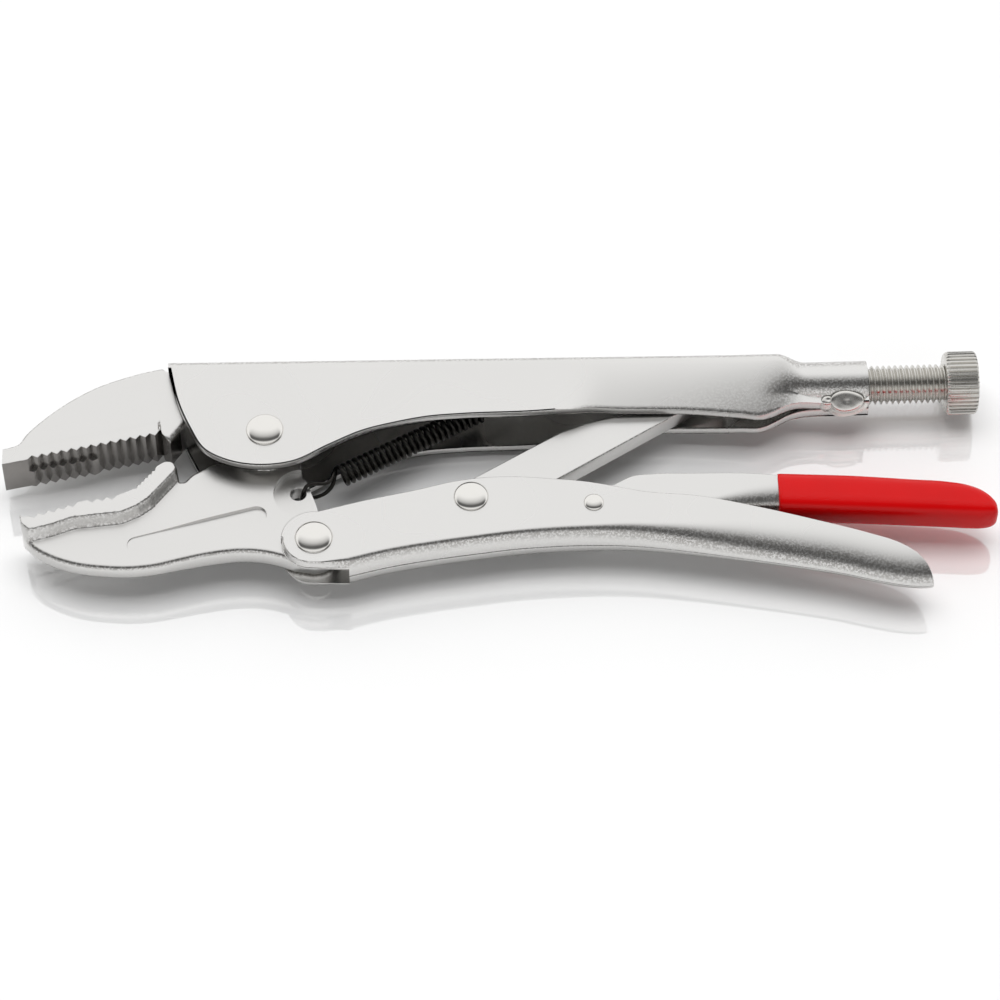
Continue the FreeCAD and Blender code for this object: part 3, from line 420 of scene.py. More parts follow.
# The section at a station is a closed ring: outer skin from the near edge over the back to the far edge, a rounded
# rim, the inner skin back again and the near rim. Channel and tube sections are mixed by a smoothstep along X.
def armSurface(own):
    front, square, rim = own["front"], own["squareFrom"], own["rim"]
    edge = through(own["edge"], 240)
    run = np.concatenate([[0], np.cumsum(np.linalg.norm(np.diff(edge, axis=0), axis=1))])
    meet = np.interp(square, edge[:, 0], run)
    topX = np.where(run < meet, front + (square - front) * run / meet, edge[:, 0])
    fall = (own["backRear"] - own["backFront"]) / (own["levelFrom"] - front)
    back = own["backRear"] + fall * (np.minimum(topX, own["levelFrom"]) - own["levelFrom"])
    way = np.gradient(edge, run, axis=0)
    way /= np.linalg.norm(way, axis=1)[:, None]
    outward = np.stack([way[:, 1], -way[:, 0], np.zeros(len(edge))], 1)
    plateCount, bendCount, backCount, lipCount = 22, 9, 5, 9
    share = np.linspace(0, 1, plateCount)

    # Near half of a channel section: a pinched plate, a quarter-circle bend and half the back.
    def channel(inset, radius):
        top = (back - inset)[:, None]
        foot = edge[:, 1][:, None]
        plateY = foot + (top - radius - foot) * share
        plateX = edge[:, None, 0] + (topX[:, None] - edge[:, None, 0]) * share
        pinch = ramp(plateX, own["pinchFrom"], own["pinchTo"])
        depth = np.clip((top - radius - plateY) / (top - radius - own["pinchFoot"]), 0, own["pinchMost"])
        narrow = heightAt(own["pinch"], plateX)
        plateZ = (own["halfWidth"] - inset
                  - (own["halfWidth"] - narrow) * pinch * depth**own["pinchPower"])
        turn = np.linspace(0, math.pi / 2, bendCount + 1)[1:]
        bendZ = own["halfWidth"] - inset - radius * (1 - np.cos(turn)) + 0 * top
        bendY = top - radius + radius * np.sin(turn)
        backZ = (own["halfWidth"] - inset - radius) * np.linspace(1, 0, backCount)[1:] + 0 * top
        sideX = topX[:, None] + 0 * np.concatenate([bendZ, backZ], 1)
        return (np.concatenate([plateX, sideX], 1), np.concatenate([plateY, bendY, top + 0 * backZ], 1),
                np.concatenate([plateZ, bendZ, backZ], 1))

    # Near half of the tube's section: a lip up from the seam, then an arc about the screw's axis.
    def tube(radius, lipHalf):
        lipFoot = own["keelBottom"]
        lipY = lipFoot + (screwY - math.sqrt(radius**2 - lipHalf**2) - lipFoot) * np.linspace(0, 1, lipCount)
        turns = [-math.acos(lipHalf / radius), *own["tubeTurns"], math.pi / 2]
        counts = (plateCount - lipCount + 1, bendCount + 1, backCount)
        angle = np.concatenate([a + (b - a) * np.linspace(0, 1, count)[1:]
                                for a, b, count in zip(turns, turns[1:], counts)])
        return (np.concatenate([lipY, screwY + radius * np.sin(angle)]),
                np.concatenate([np.full(lipCount, lipHalf), radius * np.cos(angle)]))

    def skin(inset, radius, tubeRadius, lipHalf):
        x, y, z = channel(inset, radius)
        tubeY, tubeZ = tube(tubeRadius, lipHalf)
        roll, lipRoll = (ramp(edge[:, 0], *own[key])[:, None] for key in ("roll", "lipRoll"))
        mix = lipRoll + (roll - lipRoll) * np.concatenate([share**2, np.ones(len(tubeY) - plateCount)])
        half = np.stack([x, y + (tubeY - y) * mix, z + (tubeZ - z) * mix], -1)
        return np.concatenate([half, half[:, -2::-1] * np.array([1, 1, -1])], 1)

    # Rounded rim between two skins: a quarter circle off each of them.
    def rimRow(start, stop):
        across = stop - start
        across /= np.linalg.norm(across, axis=1)[:, None]
        off = [(across * rim * (1 - math.cos(a)), outward * rim * (math.sin(a) - 1)) for a in own["rimTurns"]]
        return [start + inward + down for inward, down in off] + [stop - inward + down for inward, down in off[::-1]]

    outer = skin(0.0, own["bend"], own["tubeRadius"], own["keelHalf"])
    inner = skin(own["wall"], own["innerBend"], own["boreRadius"], own["keelGap"])
    for side in (outer, inner):
        side[:, 0] -= outward * rim
        side[:, -1] -= outward * rim
    far, near = rimRow(outer[:, -1], inner[:, -1]), rimRow(inner[:, 0], outer[:, 0])
    ring = np.concatenate([outer, np.stack(far, 1), inner[:, ::-1], np.stack(near, 1)], 1)
    rows, cols = ring.shape[:2]
    faces = gridFaces(rows, cols, ring=True)
    size = outer.shape[1]
    j = np.arange(size - 1)
    mate = size + len(far) + (size - 1 - j)
    for first in (0, (rows - 1) * cols):
        faces += (np.stack([j, j + 1, mate - 1, mate], -1) + first).tolist()
        faces.append([first + index for index in range(size - 1, size + len(far) + 1)])
        faces.append([first] + [first + index for index in range(cols - 1, cols - 2 - len(near), -1)])
    return ring.reshape(-1, 3), faces


makePiece("channelArm", *armSurface(arm), sheetNickel, sharp=38, body="housing_body", replaces=["housing"],
          slot="plated_steel")
print("arm made")


# Weld bead under the tube: a lumpy oval with ripples round its crater, and a smaller one in front of it

bead = {"lumps": [{"centre": (148.0, 9.4, 1.0), "size": (5.7, 3.7, 3.7), "lean": 0.62, "ripple": 0.34, "seed": 1.0},
                  {"centre": (143.2, 9.2, 0.6), "size": (2.7, 1.9, 3.2), "lean": 0.3, "ripple": 0.05, "seed": 2.3}]}


# An ellipsoid about an axis that leans forward; its radius swells in rings round a crater and in slow lumps.
def blobSurface(centre, size, lean, ripple, seed, rows=54, steps=72):
    around = wholeTurn(steps)
    down = np.linspace(0, math.pi, rows)[:, None]
    rings = ripple * np.cos(9.0 * down + 0.6 * np.sin(around + seed)) * np.sin(down)
    lumps = 0.05 * np.sin(3 * around + seed) * np.sin(down)**2 + 0.02 * np.sin(5 * around - seed) * np.sin(down)**4
    scale = 1 + rings / size[0] + lumps - 0.16 * np.exp(-(down / 0.34)**2)
    u = size[0] * np.sin(down) * np.cos(around) * scale
    v = size[1] * np.sin(down) * np.sin(around) * scale
    w = size[2] * np.cos(down) * scale
    y = v * math.cos(lean) - w * math.sin(lean)
    z = v * math.sin(lean) + w * math.cos(lean)
    return ringSurface(u + centre[0], y + centre[1], z + centre[2])


makePiece("weldBead", *joined(*(blobSurface(**lump) for lump in bead["lumps"])), weldNickel, sharp=60,
          body="housing_body", replaces=["seam_weld"], slot="plated_steel")
print("weld bead made")


# Fixed jaw: forging with two staggered rows of teeth in front and one wide row behind

fixedJaw = {
    "half": 5.5, "split": 0.6, "pitch": 2.5, "depth": 1.0, "proud": 0.5, "backRim": 0.9, "edgeRim": 0.14,
    "tip": (-66.0, -6.7), "toothFrom": (-59.6, -5.39), "rowEnd": (-42.44, -1.897), "toothTo": (-26.8, 1.3),
    "heel": [(-26.4, 3.2), (-26.0, 1.6), (-23.9, -0.8), (-20.4, 4.4), (-13.5, 9.3), (-6.0, 12.6), (12.0, 12.6)],
    "back": [(-66.0, -1.5), (-64.0, -1.0), (-62.3, -0.3), (-60.4, 2.7), (-55.8, 7.8), (-50.3, 12.6), (-42.0, 17.8),
             (-36.9, 19.9), (-30.3, 22.0), (-26.2, 22.9)],
    "seat": [(-25.4, 21.55), (-24.9, 21.5), (12.0, 20.87)],
    "strip": 3.9, "stripDepth": 0.04, "stripEnd": (-27.6, -26.6),
    "grooveX": -26.6, "grooveDepth": 0.5, "grooveWidth": 0.22, "grooveFoot": (0.0, 1.0), "grooveTop": (4.8, 5.8),
    "heelRim": 1.5, "heelFrom": (-25.4, -23.6), "seatRim": 0.1, "seatFrom": (-26.4, -25.6),
    "cutFrom": -65.9, "cutTo": -22.0, "cutBelow": 3.6,
}


# Both lines are read at the same stations, which hold every tooth's crest and root. The far half's front teeth stand
# half a pitch on and a little proud. The two halves meet at the split, where their faces stay square.
def jawHalf(own, near):
    tip, toothFrom, toothTo = (np.array(own[key]) for key in ("tip", "toothFrom", "toothTo"))
    shift = np.array([0, 0.0 if near else -own["proud"]])
    teeth = own["pitch"], own["depth"]
    front = toothLine(toothFrom + shift, np.array(own["rowEnd"]) + shift, *teeth, 0.0 if near else 0.5)
    rear = toothLine(own["rowEnd"], toothTo, *teeth)
    lower = np.concatenate([[tip, toothFrom], front[front[:, 0] > toothFrom[0] + 0.05],
                            rear[rear[:, 0] > front[-1, 0] + 0.05], own["heel"]])
    upper = np.concatenate([through(own["back"], 90), own["seat"]])
    stations = np.unique(np.round(np.concatenate([
        lower[:, 0], np.linspace(-66.0, -24.0, 150), np.linspace(-24.0, 12.0, 30), upper[-3:, 0]]), 3))
    slope = (toothTo[1] - tip[1]) / (toothTo[0] - tip[0])
    split = level(own["split"])

    def top(x, y):
        above = y - tip[1] - slope * (x - tip[0])
        strip = own["stripDepth"] * (1 - ramp(above, own["strip"], own["strip"] + 0.35))
        strip = strip * (1 - ramp(x, *own["stripEnd"]))
        groove = np.exp(-((x - own["grooveX"] + 0.10 * (y - 3.0)) / own["grooveWidth"])**2)
        groove = own["grooveDepth"] * groove * (1 - ramp(y, *own["grooveTop"])) * ramp(y, *own["grooveFoot"])
        return own["half"] - strip - groove

    def lowRim(x, y):
        return own["edgeRim"] + own["heelRim"] * ramp(x, *own["heelFrom"])

    def backRim(x, y):
        return own["backRim"] - (own["backRim"] - own["seatRim"]) * ramp(x, *own["seatFrom"])

    sheets = (top, split) if near else (split, level(-own["half"]))
    points, faces = plateSurface(readAt(lower, stations), readAt(upper, stations), *sheets, lowRim, backRim, 46)
    points[np.abs(points[:, 2] - own["split"]) < 2.0, 2] = own["split"]
    return points, faces


# The second material, darker steel that is partly painted shade, goes to the faces that stand along Z, low on the jaw
# and in front of its heel, where shade falls.
def shadeCutTeeth(piece, own, material):
    mesh = piece.data
    mesh.materials.append(material)
    centres, normals = np.zeros(len(mesh.polygons) * 3), np.zeros(len(mesh.polygons) * 3)
    mesh.polygons.foreach_get("center", centres)
    mesh.polygons.foreach_get("normal", normals)
    x, y, z = (centres.reshape(-1, 3) * 1000 - pivot).T
    chosen = (np.abs(normals[2::3]) < 0.5) & (x > own["cutFrom"]) & (x < own["cutTo"])
    mesh.polygons.foreach_set("material_index", (chosen & (y < own["cutBelow"])).astype(np.int32))


fixedPiece = makePiece("forgedFixedJaw", *joined(jawHalf(fixedJaw, True), jawHalf(fixedJaw, False)), forgedNickel,
                       sharp=28, body="housing_body", replaces=["fixed_jaw"], slot="forged_steel")
# The tooth flanks and the front block's underside take the darker steel: machined steel with painted shade.
shadeCutTeeth(fixedPiece, fixedJaw, toothSteelAndShade)
print("fixed jaw made")


# Moving jaw: forged plate with a thicker toothed band, boss, ear, spot face, spring hole and sunk panel

movingJaw = {
    "half": 5.5, "frontHalf": 2.3, "earHalf": 2.8, "thicken": (-30.0, -12.0), "boss": 8.6, "bossTurn": (206, 20),
    "bossFrom": -9.6, "bossTo": 8.9, "ear": 6.2, "from": -61.0, "to": 18.2, "wallWidth": 1.8,
    "bossEase": (-0.4, 0.4), "sideRim": 1.3, "bandRim": 0.8, "bandFrom": (-0.2, 0.8), "toothRim": 0.22,
    "throatRim": 1.0, "throatFrom": (-24.5, -21.0), "bossRim": 0.6, "bossRimFrom": (-9.0, 8.0),
    "spot": (9.2, -16.2), "spotRadius": 7.3, "spotDepth": 1.5, "eye": (8.1, -15.5), "eyeRadius": 1.9,
    "panel": ((-31.9, -30.5), (-2.4, -22.7)), "panelHalf": 2.45, "panelFloor": 2.0,
    "tip": [(-61.0, -22.6), (-60.0, -23.2)],
    "teeth": [((-58.8, -22.9), (-45.0, -18.6), 2.5, -1.0), ((-44.4, -18.5), (-34.6, -17.0), 2.5, -1.0),
              ((-32.9, -15.4), (-27.2, -8.5), 1.4, -0.55)],
    "nose": [(-27.0, -8.3), (-24.9, -7.1), (-23.0, -7.6), (-22.0, -9.6), (-21.6, -11.2)],
    "throat": [(-20.4, -11.2), (-18.6, -9.2), (-16.6, -8.0), (-13.4, -6.2), (-10.6, -5.4)],
    "side": [(9.0, -9.4), (10.4, -12.4), (11.4, -15.6), (12.4, -18.6), (13.2, -22.0), (14.9, -26.5), (17.4, -29.4),
             (18.2, -31.8)],
    "under": [(-61.0, -23.2), (-60.6, -25.6), (-59.4, -28.6), (-57.4, -30.9), (-53.4, -33.6), (-47.0, -36.2),
              (-40.6, -37.4), (-34.2, -37.9), (-27.7, -37.4), (-21.3, -36.0), (-14.9, -34.7), (-6.8, -33.8),
              (-1.5, -34.2), (3.0, -35.4), (7.0, -37.1)],
    "band": [(-62.0, -23.0), (-61.4, -25.2), (-58.6, -27.9), (-53.0, -26.4), (-47.8, -24.4), (-42.3, -23.8),
             (-35.9, -23.2), (-31.7, -21.2), (-28.7, -18.8), (-22.3, -10.6), (-21.6, -8.6), (-22.4, -6.6),
             (-25.0, -5.5), (-33.0, -5.5), (-62.0, -18.0)],
}


# Signed distance from a closed outline, positive inside, by counting edges crossed to the right of each point.
def insideDistance(outline, x, y):
    ring = np.concatenate([outline, outline[:1]])
    distance = distanceTo(ring, x, y)
    start, end = ring[:-1], ring[1:]
    flatX, flatY = x.ravel()[:, None], y.ravel()[:, None]
    spans = (start[None, :, 1] > flatY) != (end[None, :, 1] > flatY)
    rise = np.where(np.abs(end[:, 1] - start[:, 1]) < 1e-9, 1e-9, end[:, 1] - start[:, 1])
    cross = start[None, :, 0] + (flatY - start[None, :, 1]) * (end - start)[None, :, 0] / rise
    inside = (np.sum(spans & (flatX < cross), axis=1) % 2 == 1).reshape(x.shape)
    return np.where(inside, distance, -distance)


# A plate between the toothed line and the underside. Its half thickness grows by smoothsteps from the thin front to
# the ear, and up to full over the toothed band and the boss.
def movingSurface(own):
    boss, start, end, wall = own["boss"], own["from"], own["to"], own["wallWidth"] * 0.5
    under = np.concatenate([through(own["under"], 120),
                            arcAbout(handleCentre, own["ear"], -math.pi / 2, 0, 14)])
    bossLine = arcAbout((0, 0), boss, *np.radians(own["bossTurn"]), 40)
    bossLine = bossLine[(bossLine[:, 0] > own["bossFrom"]) & (bossLine[:, 0] < own["bossTo"])]
    upper = np.concatenate([own["tip"], *(toothLine(*row) for row in own["teeth"]),
                            through(own["nose"], 16), through(own["throat"], 16), bossLine,
                            through(own["side"], 20)])
    upper = upper[np.concatenate([[True], np.diff(np.maximum.accumulate(upper[:, 0])) > 1e-4])]
    stations = np.unique(np.round(np.concatenate([
        upper[:, 0], np.linspace(start, 1.4, 140), np.linspace(1.5, 17.0, 110), start + 2.0 * easedSteps(10, 1.57),
        end - 4.0 * easedSteps(26)]), 3))
    stations = stations[(stations >= start) & (stations <= end)]
    lower, top = readAt(under, stations), readAt(upper, stations)
    top[:, 1] = np.maximum(top[:, 1], lower[:, 1] + 0.02)
    band = np.array(own["band"])

    def height(x, y):
        thin = own["frontHalf"] + (own["earHalf"] - own["frontHalf"]) * ramp(x, *own["thicken"])
        raised = np.maximum(ramp(insideDistance(band, x, y), -wall, wall),
                            ramp(boss - np.hypot(x, y), *own["bossEase"]))
        return thin + (own["half"] - thin) * raised

    def sideRim(x, y):
        return own["sideRim"] - own["bandRim"] * ramp(insideDistance(band, x, y), *own["bandFrom"])

    def toothRim(x, y):
        return (own["toothRim"] + own["throatRim"] * ramp(x, *own["throatFrom"])
                - own["bossRim"] * ramp(x, *own["bossRimFrom"]))

    return plateSurface(lower, top, height, lambda x, y: -height(x, y), sideRim, toothRim, 124, True)


# Cutters are taken out of a piece by an exact difference; the result replaces its mesh and the cutters go.
def cutAway(piece, *surfaces):
    for points, faces in surfaces:
        cutter = addObject("cutter", newMesh("cutter", points, faces))
        change = piece.modifiers.new("cut", "BOOLEAN")
        change.operation, change.solver, change.object = "DIFFERENCE", "EXACT", cutter
        bpy.context.view_layer.update()
        cut = bpy.data.meshes.new_from_object(piece.evaluated_get(bpy.context.evaluated_depsgraph_get()))
        piece.modifiers.clear()
        bpy.data.objects.remove(cutter)
        piece.data = cut
    cleanUp(piece.data)
    shade(piece.data, 35)


# Round cutter: straight walls up to the ease, then out by as much, and up past the face.
def discSurface(centre, radius, bottom, top, ease):
    return turnedSurface([(0.0, bottom), (radius, bottom), (radius, top - ease), (radius + ease, top),
                          (radius + ease, top + 1.0), (0.0, top + 1.0)], centre, 120)


# Prism over an outline with round ends about two points; its wall leans out by ease from bottom to top.
def slotSurface(start, end, half, bottom, top, ease, steps=28):
    start, end = np.asarray(start, float), np.asarray(end, float)
    lean = math.atan2(*(end - start)[::-1])
    out = arcAbout((0, 0), 1, lean - math.pi / 2, lean + math.pi / 2, steps)
    out = np.concatenate([out, -out])
    ends = np.concatenate([np.tile(end, (steps, 1)), np.tile(start, (steps, 1))])
    around = 2 * steps
    points = np.concatenate([np.column_stack([ends + out * wide, np.full(around, height)])
                             for wide, height in ((half, bottom), (half + ease, top))])
    caps = [list(range(around))[::-1], list(range(around, 2 * around))]
    return points, gridFaces(2, around, ring=True) + caps


movingPiece = makePiece("forgedMovingJaw", *movingSurface(movingJaw), forgedNickel, sharp=55, body="jaw",
                        replaces=["moving_jaw"], slot="forged_steel")
spotFloor = movingJaw["earHalf"] - movingJaw["spotDepth"]
cutAway(movingPiece,
        discSurface(movingJaw["spot"], movingJaw["spotRadius"], spotFloor, movingJaw["earHalf"] + 4.0, 0.02),
        discSurface(movingJaw["eye"], movingJaw["eyeRadius"], -5.0, spotFloor, 0.2),
        slotSurface(*movingJaw["panel"], movingJaw["panelHalf"], movingJaw["panelFloor"], 4.0, 0.6))
print("moving jaw made")


# Folded channel: two plates and the web between them. Across the tool the outer skin is half an ellipse that ends in
# flat plates; the inner skin is the same, one wall further in. Rows are stations along the piece.
def channelSurface(lower, upper, half, wall, bendHeight, closing=(), across=72, rim=0.35):
    x, y = between(lower, upper, easedSteps(across, math.pi) / 2)
    ground = np.concatenate([lower, np.array(closing, float).reshape(-1, 2)])
    low, high = distanceTo(ground, x, y), distanceTo(upper, x, y)
    bend, wide = heightAt(bendHeight, x), half(x, y)
    outer = wide * np.sqrt(1 - (1 - np.clip(low / bend, 0, 1))**2)
    hollow = np.clip((low - wall) / np.maximum(bend - wall, 0.6), 0, 1)
    inner = (wide - wall) * np.sqrt(1 - (1 - hollow)**2)
    drop = rimDrop(high, rim)
    inner = np.minimum(inner + drop, outer - drop - 0.02)
    near, hollowNear = (np.stack([x, y, np.maximum(skin, 0)], -1) for skin in (outer - drop, inner))
    mirror = np.array([1, 1, -1])
    ring = np.concatenate([near[:, ::-1], near[:, 1:] * mirror, hollowNear[:, ::-1] * mirror, hollowNear[:, 1:]], 1)
    rows, cols = ring.shape[:2]
    faces = gridFaces(rows, cols, ring=True)
    size = 2 * across - 1
    j = np.arange(size - 1)
    for first in (0, (rows - 1) * cols):
        faces += (np.stack([j, j + 1, 2 * size - 2 - j, 2 * size - 1 - j], -1) + first).tolist()
    return ring.reshape(-1, 3), faces


# Handle: pressed channel, open towards the arm, with two ears in front of its web

handle = {
    "half": 5.05, "wall": 2.1, "ear": 8.2, "webFront": 20.6, "tipFrom": 150.0, "rim": 0.35,
    "bendHeight": [(3.0, 0.7), (14.0, 0.9), (20.6, 2.4), (60.0, 2.6), (80.0, 3.0), (96.0, 4.4), (109.0, 6.4),
                   (122.0, 9.0), (136.0, 10.5), (165.0, 11.0)],
    "top": [(12.9, -23.7), (25.3, -20.5), (36.9, -18.0), (48.7, -15.2), (53.7, -14.6), (62.0, -14.5), (72.7, -15.6),
            (79.9, -16.6), (85.6, -17.9), (94.5, -20.2), (108.4, -22.1), (122.1, -25.8), (135.9, -30.2),
            (149.4, -34.9), (157.0, -38.2), (160.6, -40.8), (163.0, -43.6), (164.3, -46.3), (164.75, -48.0)],
    "bottom": [(20.6, -40.4), (29.3, -38.2), (41.2, -36.1), (52.7, -34.6), (61.2, -33.6), (70.0, -33.1),
               (80.9, -33.0), (92.0, -33.7), (100.3, -34.9), (110.0, -36.7), (119.0, -38.5), (130.0, -40.8),
               (142.6, -43.7), (151.0, -46.2), (156.0, -47.5), (160.0, -48.2), (163.0, -48.36), (164.75, -48.2)],
    "earFoot": [(14.0, -40.1), (18.0, -40.3), (20.6, -40.4)],
}


# The web and its plates from the web's front to the tip, and an ear on each side: a plate from the round front, an
# arc about the handle's rivet, to the web. The ear's outer face follows the same bend, 0.3 mm thick at the least.
def handleSurfaces(own):
    half, front = own["half"], own["webFront"]
    inside = half - own["wall"]
    top = np.concatenate([arcAbout(handleCentre, own["ear"], math.pi, math.pi / 2, 18)[:-1],
                          through(own["top"], 200)])
    end, tip = own["bottom"][-1][0], own["tipFrom"]
    stations = np.concatenate([np.linspace(front, tip, 150),
                               tip + (end - tip) * np.sin(np.linspace(0, math.pi / 2, 50))[1:]])
    lower, upper = readAt(through(own["bottom"], 200), stations), readAt(top, stations)
    channel = channelSurface(lower, upper, level(half), own["wall"], own["bendHeight"],
                             closing=[(end, upper[-1, 1])], rim=own["rim"])
    frontLow = np.concatenate([arcAbout(handleCentre, own["ear"], math.pi, 1.42 * math.pi, 20),
                               own["earFoot"]])
    left = handleCentre[0] - own["ear"]
    earX = left + (front - left) * easedSteps(44)
    low = readAt(frontLow, earX)

    def skin(x, y):
        share = np.clip(distanceTo(low, x, y) / heightAt(own["bendHeight"], x), 0, 1)
        return np.maximum(half - half * (1 - np.sqrt(1 - (1 - share)**2)), inside + 0.3)

    ear = plateSurface(low, readAt(top, earX), skin, level(inside), level(0.02), level(own["rim"]), 60)
    return channel, ear, (ear[0] * np.array([1, 1, -1]), ear[1])


makePiece("pressedHandle", *joined(*handleSurfaces(handle)), sheetNickel, sharp=34, body="handle",
          replaces=["grip_handle"], slot="plated_steel")
print("handle made")


# Toggle link: flat forging between the handle and the screw's tip

link = {"radius": 6.1, "nose": (114.6, 15.2), "noseRadius": 2.7, "half": 2.5, "rim": 0.35,
        "back": [(74.5, 0.9), (81.2, 3.6), (89.3, 5.6), (103.0, 11.2)]}


# Both outlines run from the round end to the nose: an arc about each centre and the straights that touch them.
def linkSurface(own):
    nose, round, radius = np.array(own["nose"]), own["radius"], own["noseRadius"]
    angle = math.atan2(nose[1] - toggleCentre[1], nose[0] - toggleCentre[0])
    upper = np.concatenate([arcAbout(toggleCentre, round, math.pi, angle + math.pi / 2, 24), own["back"],
                            arcAbout(nose, radius, angle + math.pi / 2, 0, 16)])
    lower = np.concatenate([arcAbout(toggleCentre, round, math.pi, angle + 1.5 * math.pi, 30),
                            arcAbout(nose, radius, angle - math.pi / 2, 0, 16)])
    start, end = toggleCentre[0] - round, nose[0] + radius
    stations = np.unique(np.concatenate([start + round * easedSteps(20), np.linspace(start + 6, end - 2.5, 110),
                                         end - radius * easedSteps(20)]))
    half, rim = own["half"], level(own["rim"])
    return plateSurface(readAt(lower, stations), readAt(upper, stations), level(half), level(-half), rim, rim, 40)


makePiece("toggleLink", *linkSurface(link), forgedNickel, sharp=34, body="link", replaces=["toggle_link"],
          slot="forged_steel")


# Release lever: folded sheet whose closed edge swells into a round tail under the sleeve

lever = {
    "half": 2.65, "tailHalf": 3.9, "swell": (108.0, 131.0), "wall": 1.4, "rim": 0.3, "from": 70.0, "to": 177.6,
    "bendHeight": [(70.0, 1.6), (104.0, 1.8), (113.0, 3.4), (121.0, 5.6), (128.0, 6.6), (178.0, 6.6)],
    "top": [(70.0, -22.4), (77.0, -20.4), (84.5, -17.6), (88.5, -15.4), (92.0, -13.6), (97.0, -13.1), (106.5, -13.2),
            (112.0, -13.4), (119.0, -14.0), (129.3, -15.6), (146.6, -17.0), (171.0, -20.2), (176.0, -22.2),
            (177.6, -24.6)],
    "bottom": [(70.0, -23.8), (73.5, -27.0), (81.8, -28.3), (95.0, -26.4), (108.0, -24.3), (129.3, -24.0),
               (154.3, -25.9), (171.5, -27.3), (176.0, -27.3), (177.6, -25.4)],
}


# A folded channel whose half width goes by a smoothstep from the blade's to the tail's.
def leverSurface(own):
    stations = np.linspace(own["from"], own["to"], 190)
    lower, upper = (readAt(through(own[key], 260), stations) for key in ("bottom", "top"))
    half = lambda x, y: own["half"] + (own["tailHalf"] - own["half"]) * ramp(x, *own["swell"])
    return channelSurface(lower, upper, half, own["wall"], own["bendHeight"], across=44,
                          rim=own["rim"])


makePiece("foldedLever", *leverSurface(lever), sheetNickel, sharp=34, body="release", replaces=["release_lever"],
          slot="plated_steel")


# Dipped sleeve: superellipse sections along the tail, each given by x, its lowest and highest point and its width

sleeve = {
    "half": 4.75, "power": 2.9, "steps": 80, "lip": [(0.001, 0.0), (0.84, 0.0), (0.93, 0.06), (0.98, 0.25)],
    "tip": [(0.5, 0.03), (0.001, 0.04)],
    "stations": [(128.2, -25.6, -13.9, 1.0), (137.0, -26.2, -14.5, 1.0), (146.6, -26.9, -15.2, 1.0),
                 (161.0, -28.1, -16.8, 1.0), (171.0, -28.9, -18.0, 1.0), (175.5, -29.3, -19.1, 1.0),
                 (179.0, -29.4, -20.9, 0.96), (181.3, -29.0, -23.1, 0.84), (182.5, -28.2, -25.0, 0.62),
                 (182.84, -27.4, -26.3, 0.3)],
}


# A point of a section is (|cos|, |sin|) to the power 2/p, signed, times the section's half height and half width.
# Both ends close with smaller copies of the last section, each given by its scale and its shift along X.
def sleeveSurface(own):
    def shrunk(row, scale, shift):
        middle = (row[1] + row[2]) / 2
        return [row[0] + shift, middle + (row[1] - middle) * scale, middle + (row[2] - middle) * scale, row[3] * scale]

    rows = through(own["stations"], 120)
    first, last = rows[0], rows[-1]
    rows = np.concatenate([[shrunk(first, *step) for step in own["lip"]], rows[rows[:, 0] > first[0] + 0.5],
                           [shrunk(last, *step) for step in own["tip"]]])
    x, low, high, width = rows.T[..., None]
    turn = wholeTurn(own["steps"])
    up, out = (np.sign(part) * np.abs(part)**(2 / own["power"]) for part in (np.cos(turn), np.sin(turn)))
    return ringSurface(x, (low + high) / 2 + (high - low) / 2 * up, width * own["half"] * out)


makePiece("dippedSleeve", *sleeveSurface(sleeve), redVinyl, sharp=60, body="release", replaces=["lever_sleeve"],
          slot="red_plastic")
print("link, lever and sleeve made")


# Rivets: a flanged dome on each side of a shank. Each is given by its piece's name, body and centre, then by the
# half grip, the flange's radius and rise, the dome's radius and height, and the shank's radius.

rivets = {
    "main_rivet": ("mainRivet", "housing_body", (0.0, 0.0), 8.0, 4.8, 0.12, 4.74, 1.88, 3.45),
    "handle_rivet": ("handleRivet", "handle", handleCentre, 5.05, 4.8, 0.12, 4.74, 1.88, 3.45),
    "toggle_rivet": ("toggleRivet", "handle", toggleCentre, 5.05, 4.35, 0.12, 4.35, 1.6, 2.95),
    "release_rivet": ("releaseRivet", "handle", releaseCentre, 5.05, 2.5, 0.1, 2.5, 1.0, 1.55),
}


# Head profile: a flange with an eased rim, then a dome whose height falls as (1 - (r / R)^2) to the power 0.5.
def rivetSurface(centre, grip, flange, rise, dome, height, shank):
    reach = np.concatenate([np.linspace(0, 0.8, 12), 1 - 0.2 * (1 - np.linspace(0, 1, 13)[1:])**2])
    cap = np.stack([dome * reach, grip + rise + height * np.maximum(1 - reach**2, 0)**0.5], 1)
    ease = min(0.18, rise)
    head = np.concatenate([cap, [(flange - ease, grip + rise), (flange, grip + rise - ease), (flange, grip),
                                 (shank, grip)]])
    return turnedSurface(np.concatenate([head * np.array([1, -1]), head[::-1]]), centre)


for node, (name, body, centre, *measures) in rivets.items():
    makePiece(name, *rivetSurface(centre, *measures), rivetNickel, sharp=40, body=body, replaces=[node],
              slot="rivet_steel")
print("rivets made")


# Tension spring: a close coil with a doubled hook through the jaw's eye and a short hook at the arm's tab

spring = {
    "start": (18.9, -9.3, 0.0), "end": (54.6, 10.4, 0.0), "radius": 2.5, "wire": 0.5, "pitch": 1.65, "perTurn": 26,
    "near": [(9.6, -14.5, 1.4), (10.3, -13.8, 2.3), (11.7, -13.4, 2.6), (13.3, -13.3, 2.5), (15.1, -13.0, 2.2),
             (16.3, -11.7, 1.9), (17.0, -9.8, 1.7)],
    "far": [(17.5, -7.6, 0.6), (17.2, -9.0, -0.4), (16.5, -10.9, -1.8), (14.7, -12.3, -2.9), (12.4, -12.9, -3.6),
            (10.4, -13.1, -3.7), (9.2, -14.2, -3.0), (9.0, -14.8, -1.2)],
    "rear": [(56.8, 11.3, 1.2), (59.6, 12.9, 0.6), (62.4, 14.6, 0.1), (63.6, 15.0, 0.0)],
}


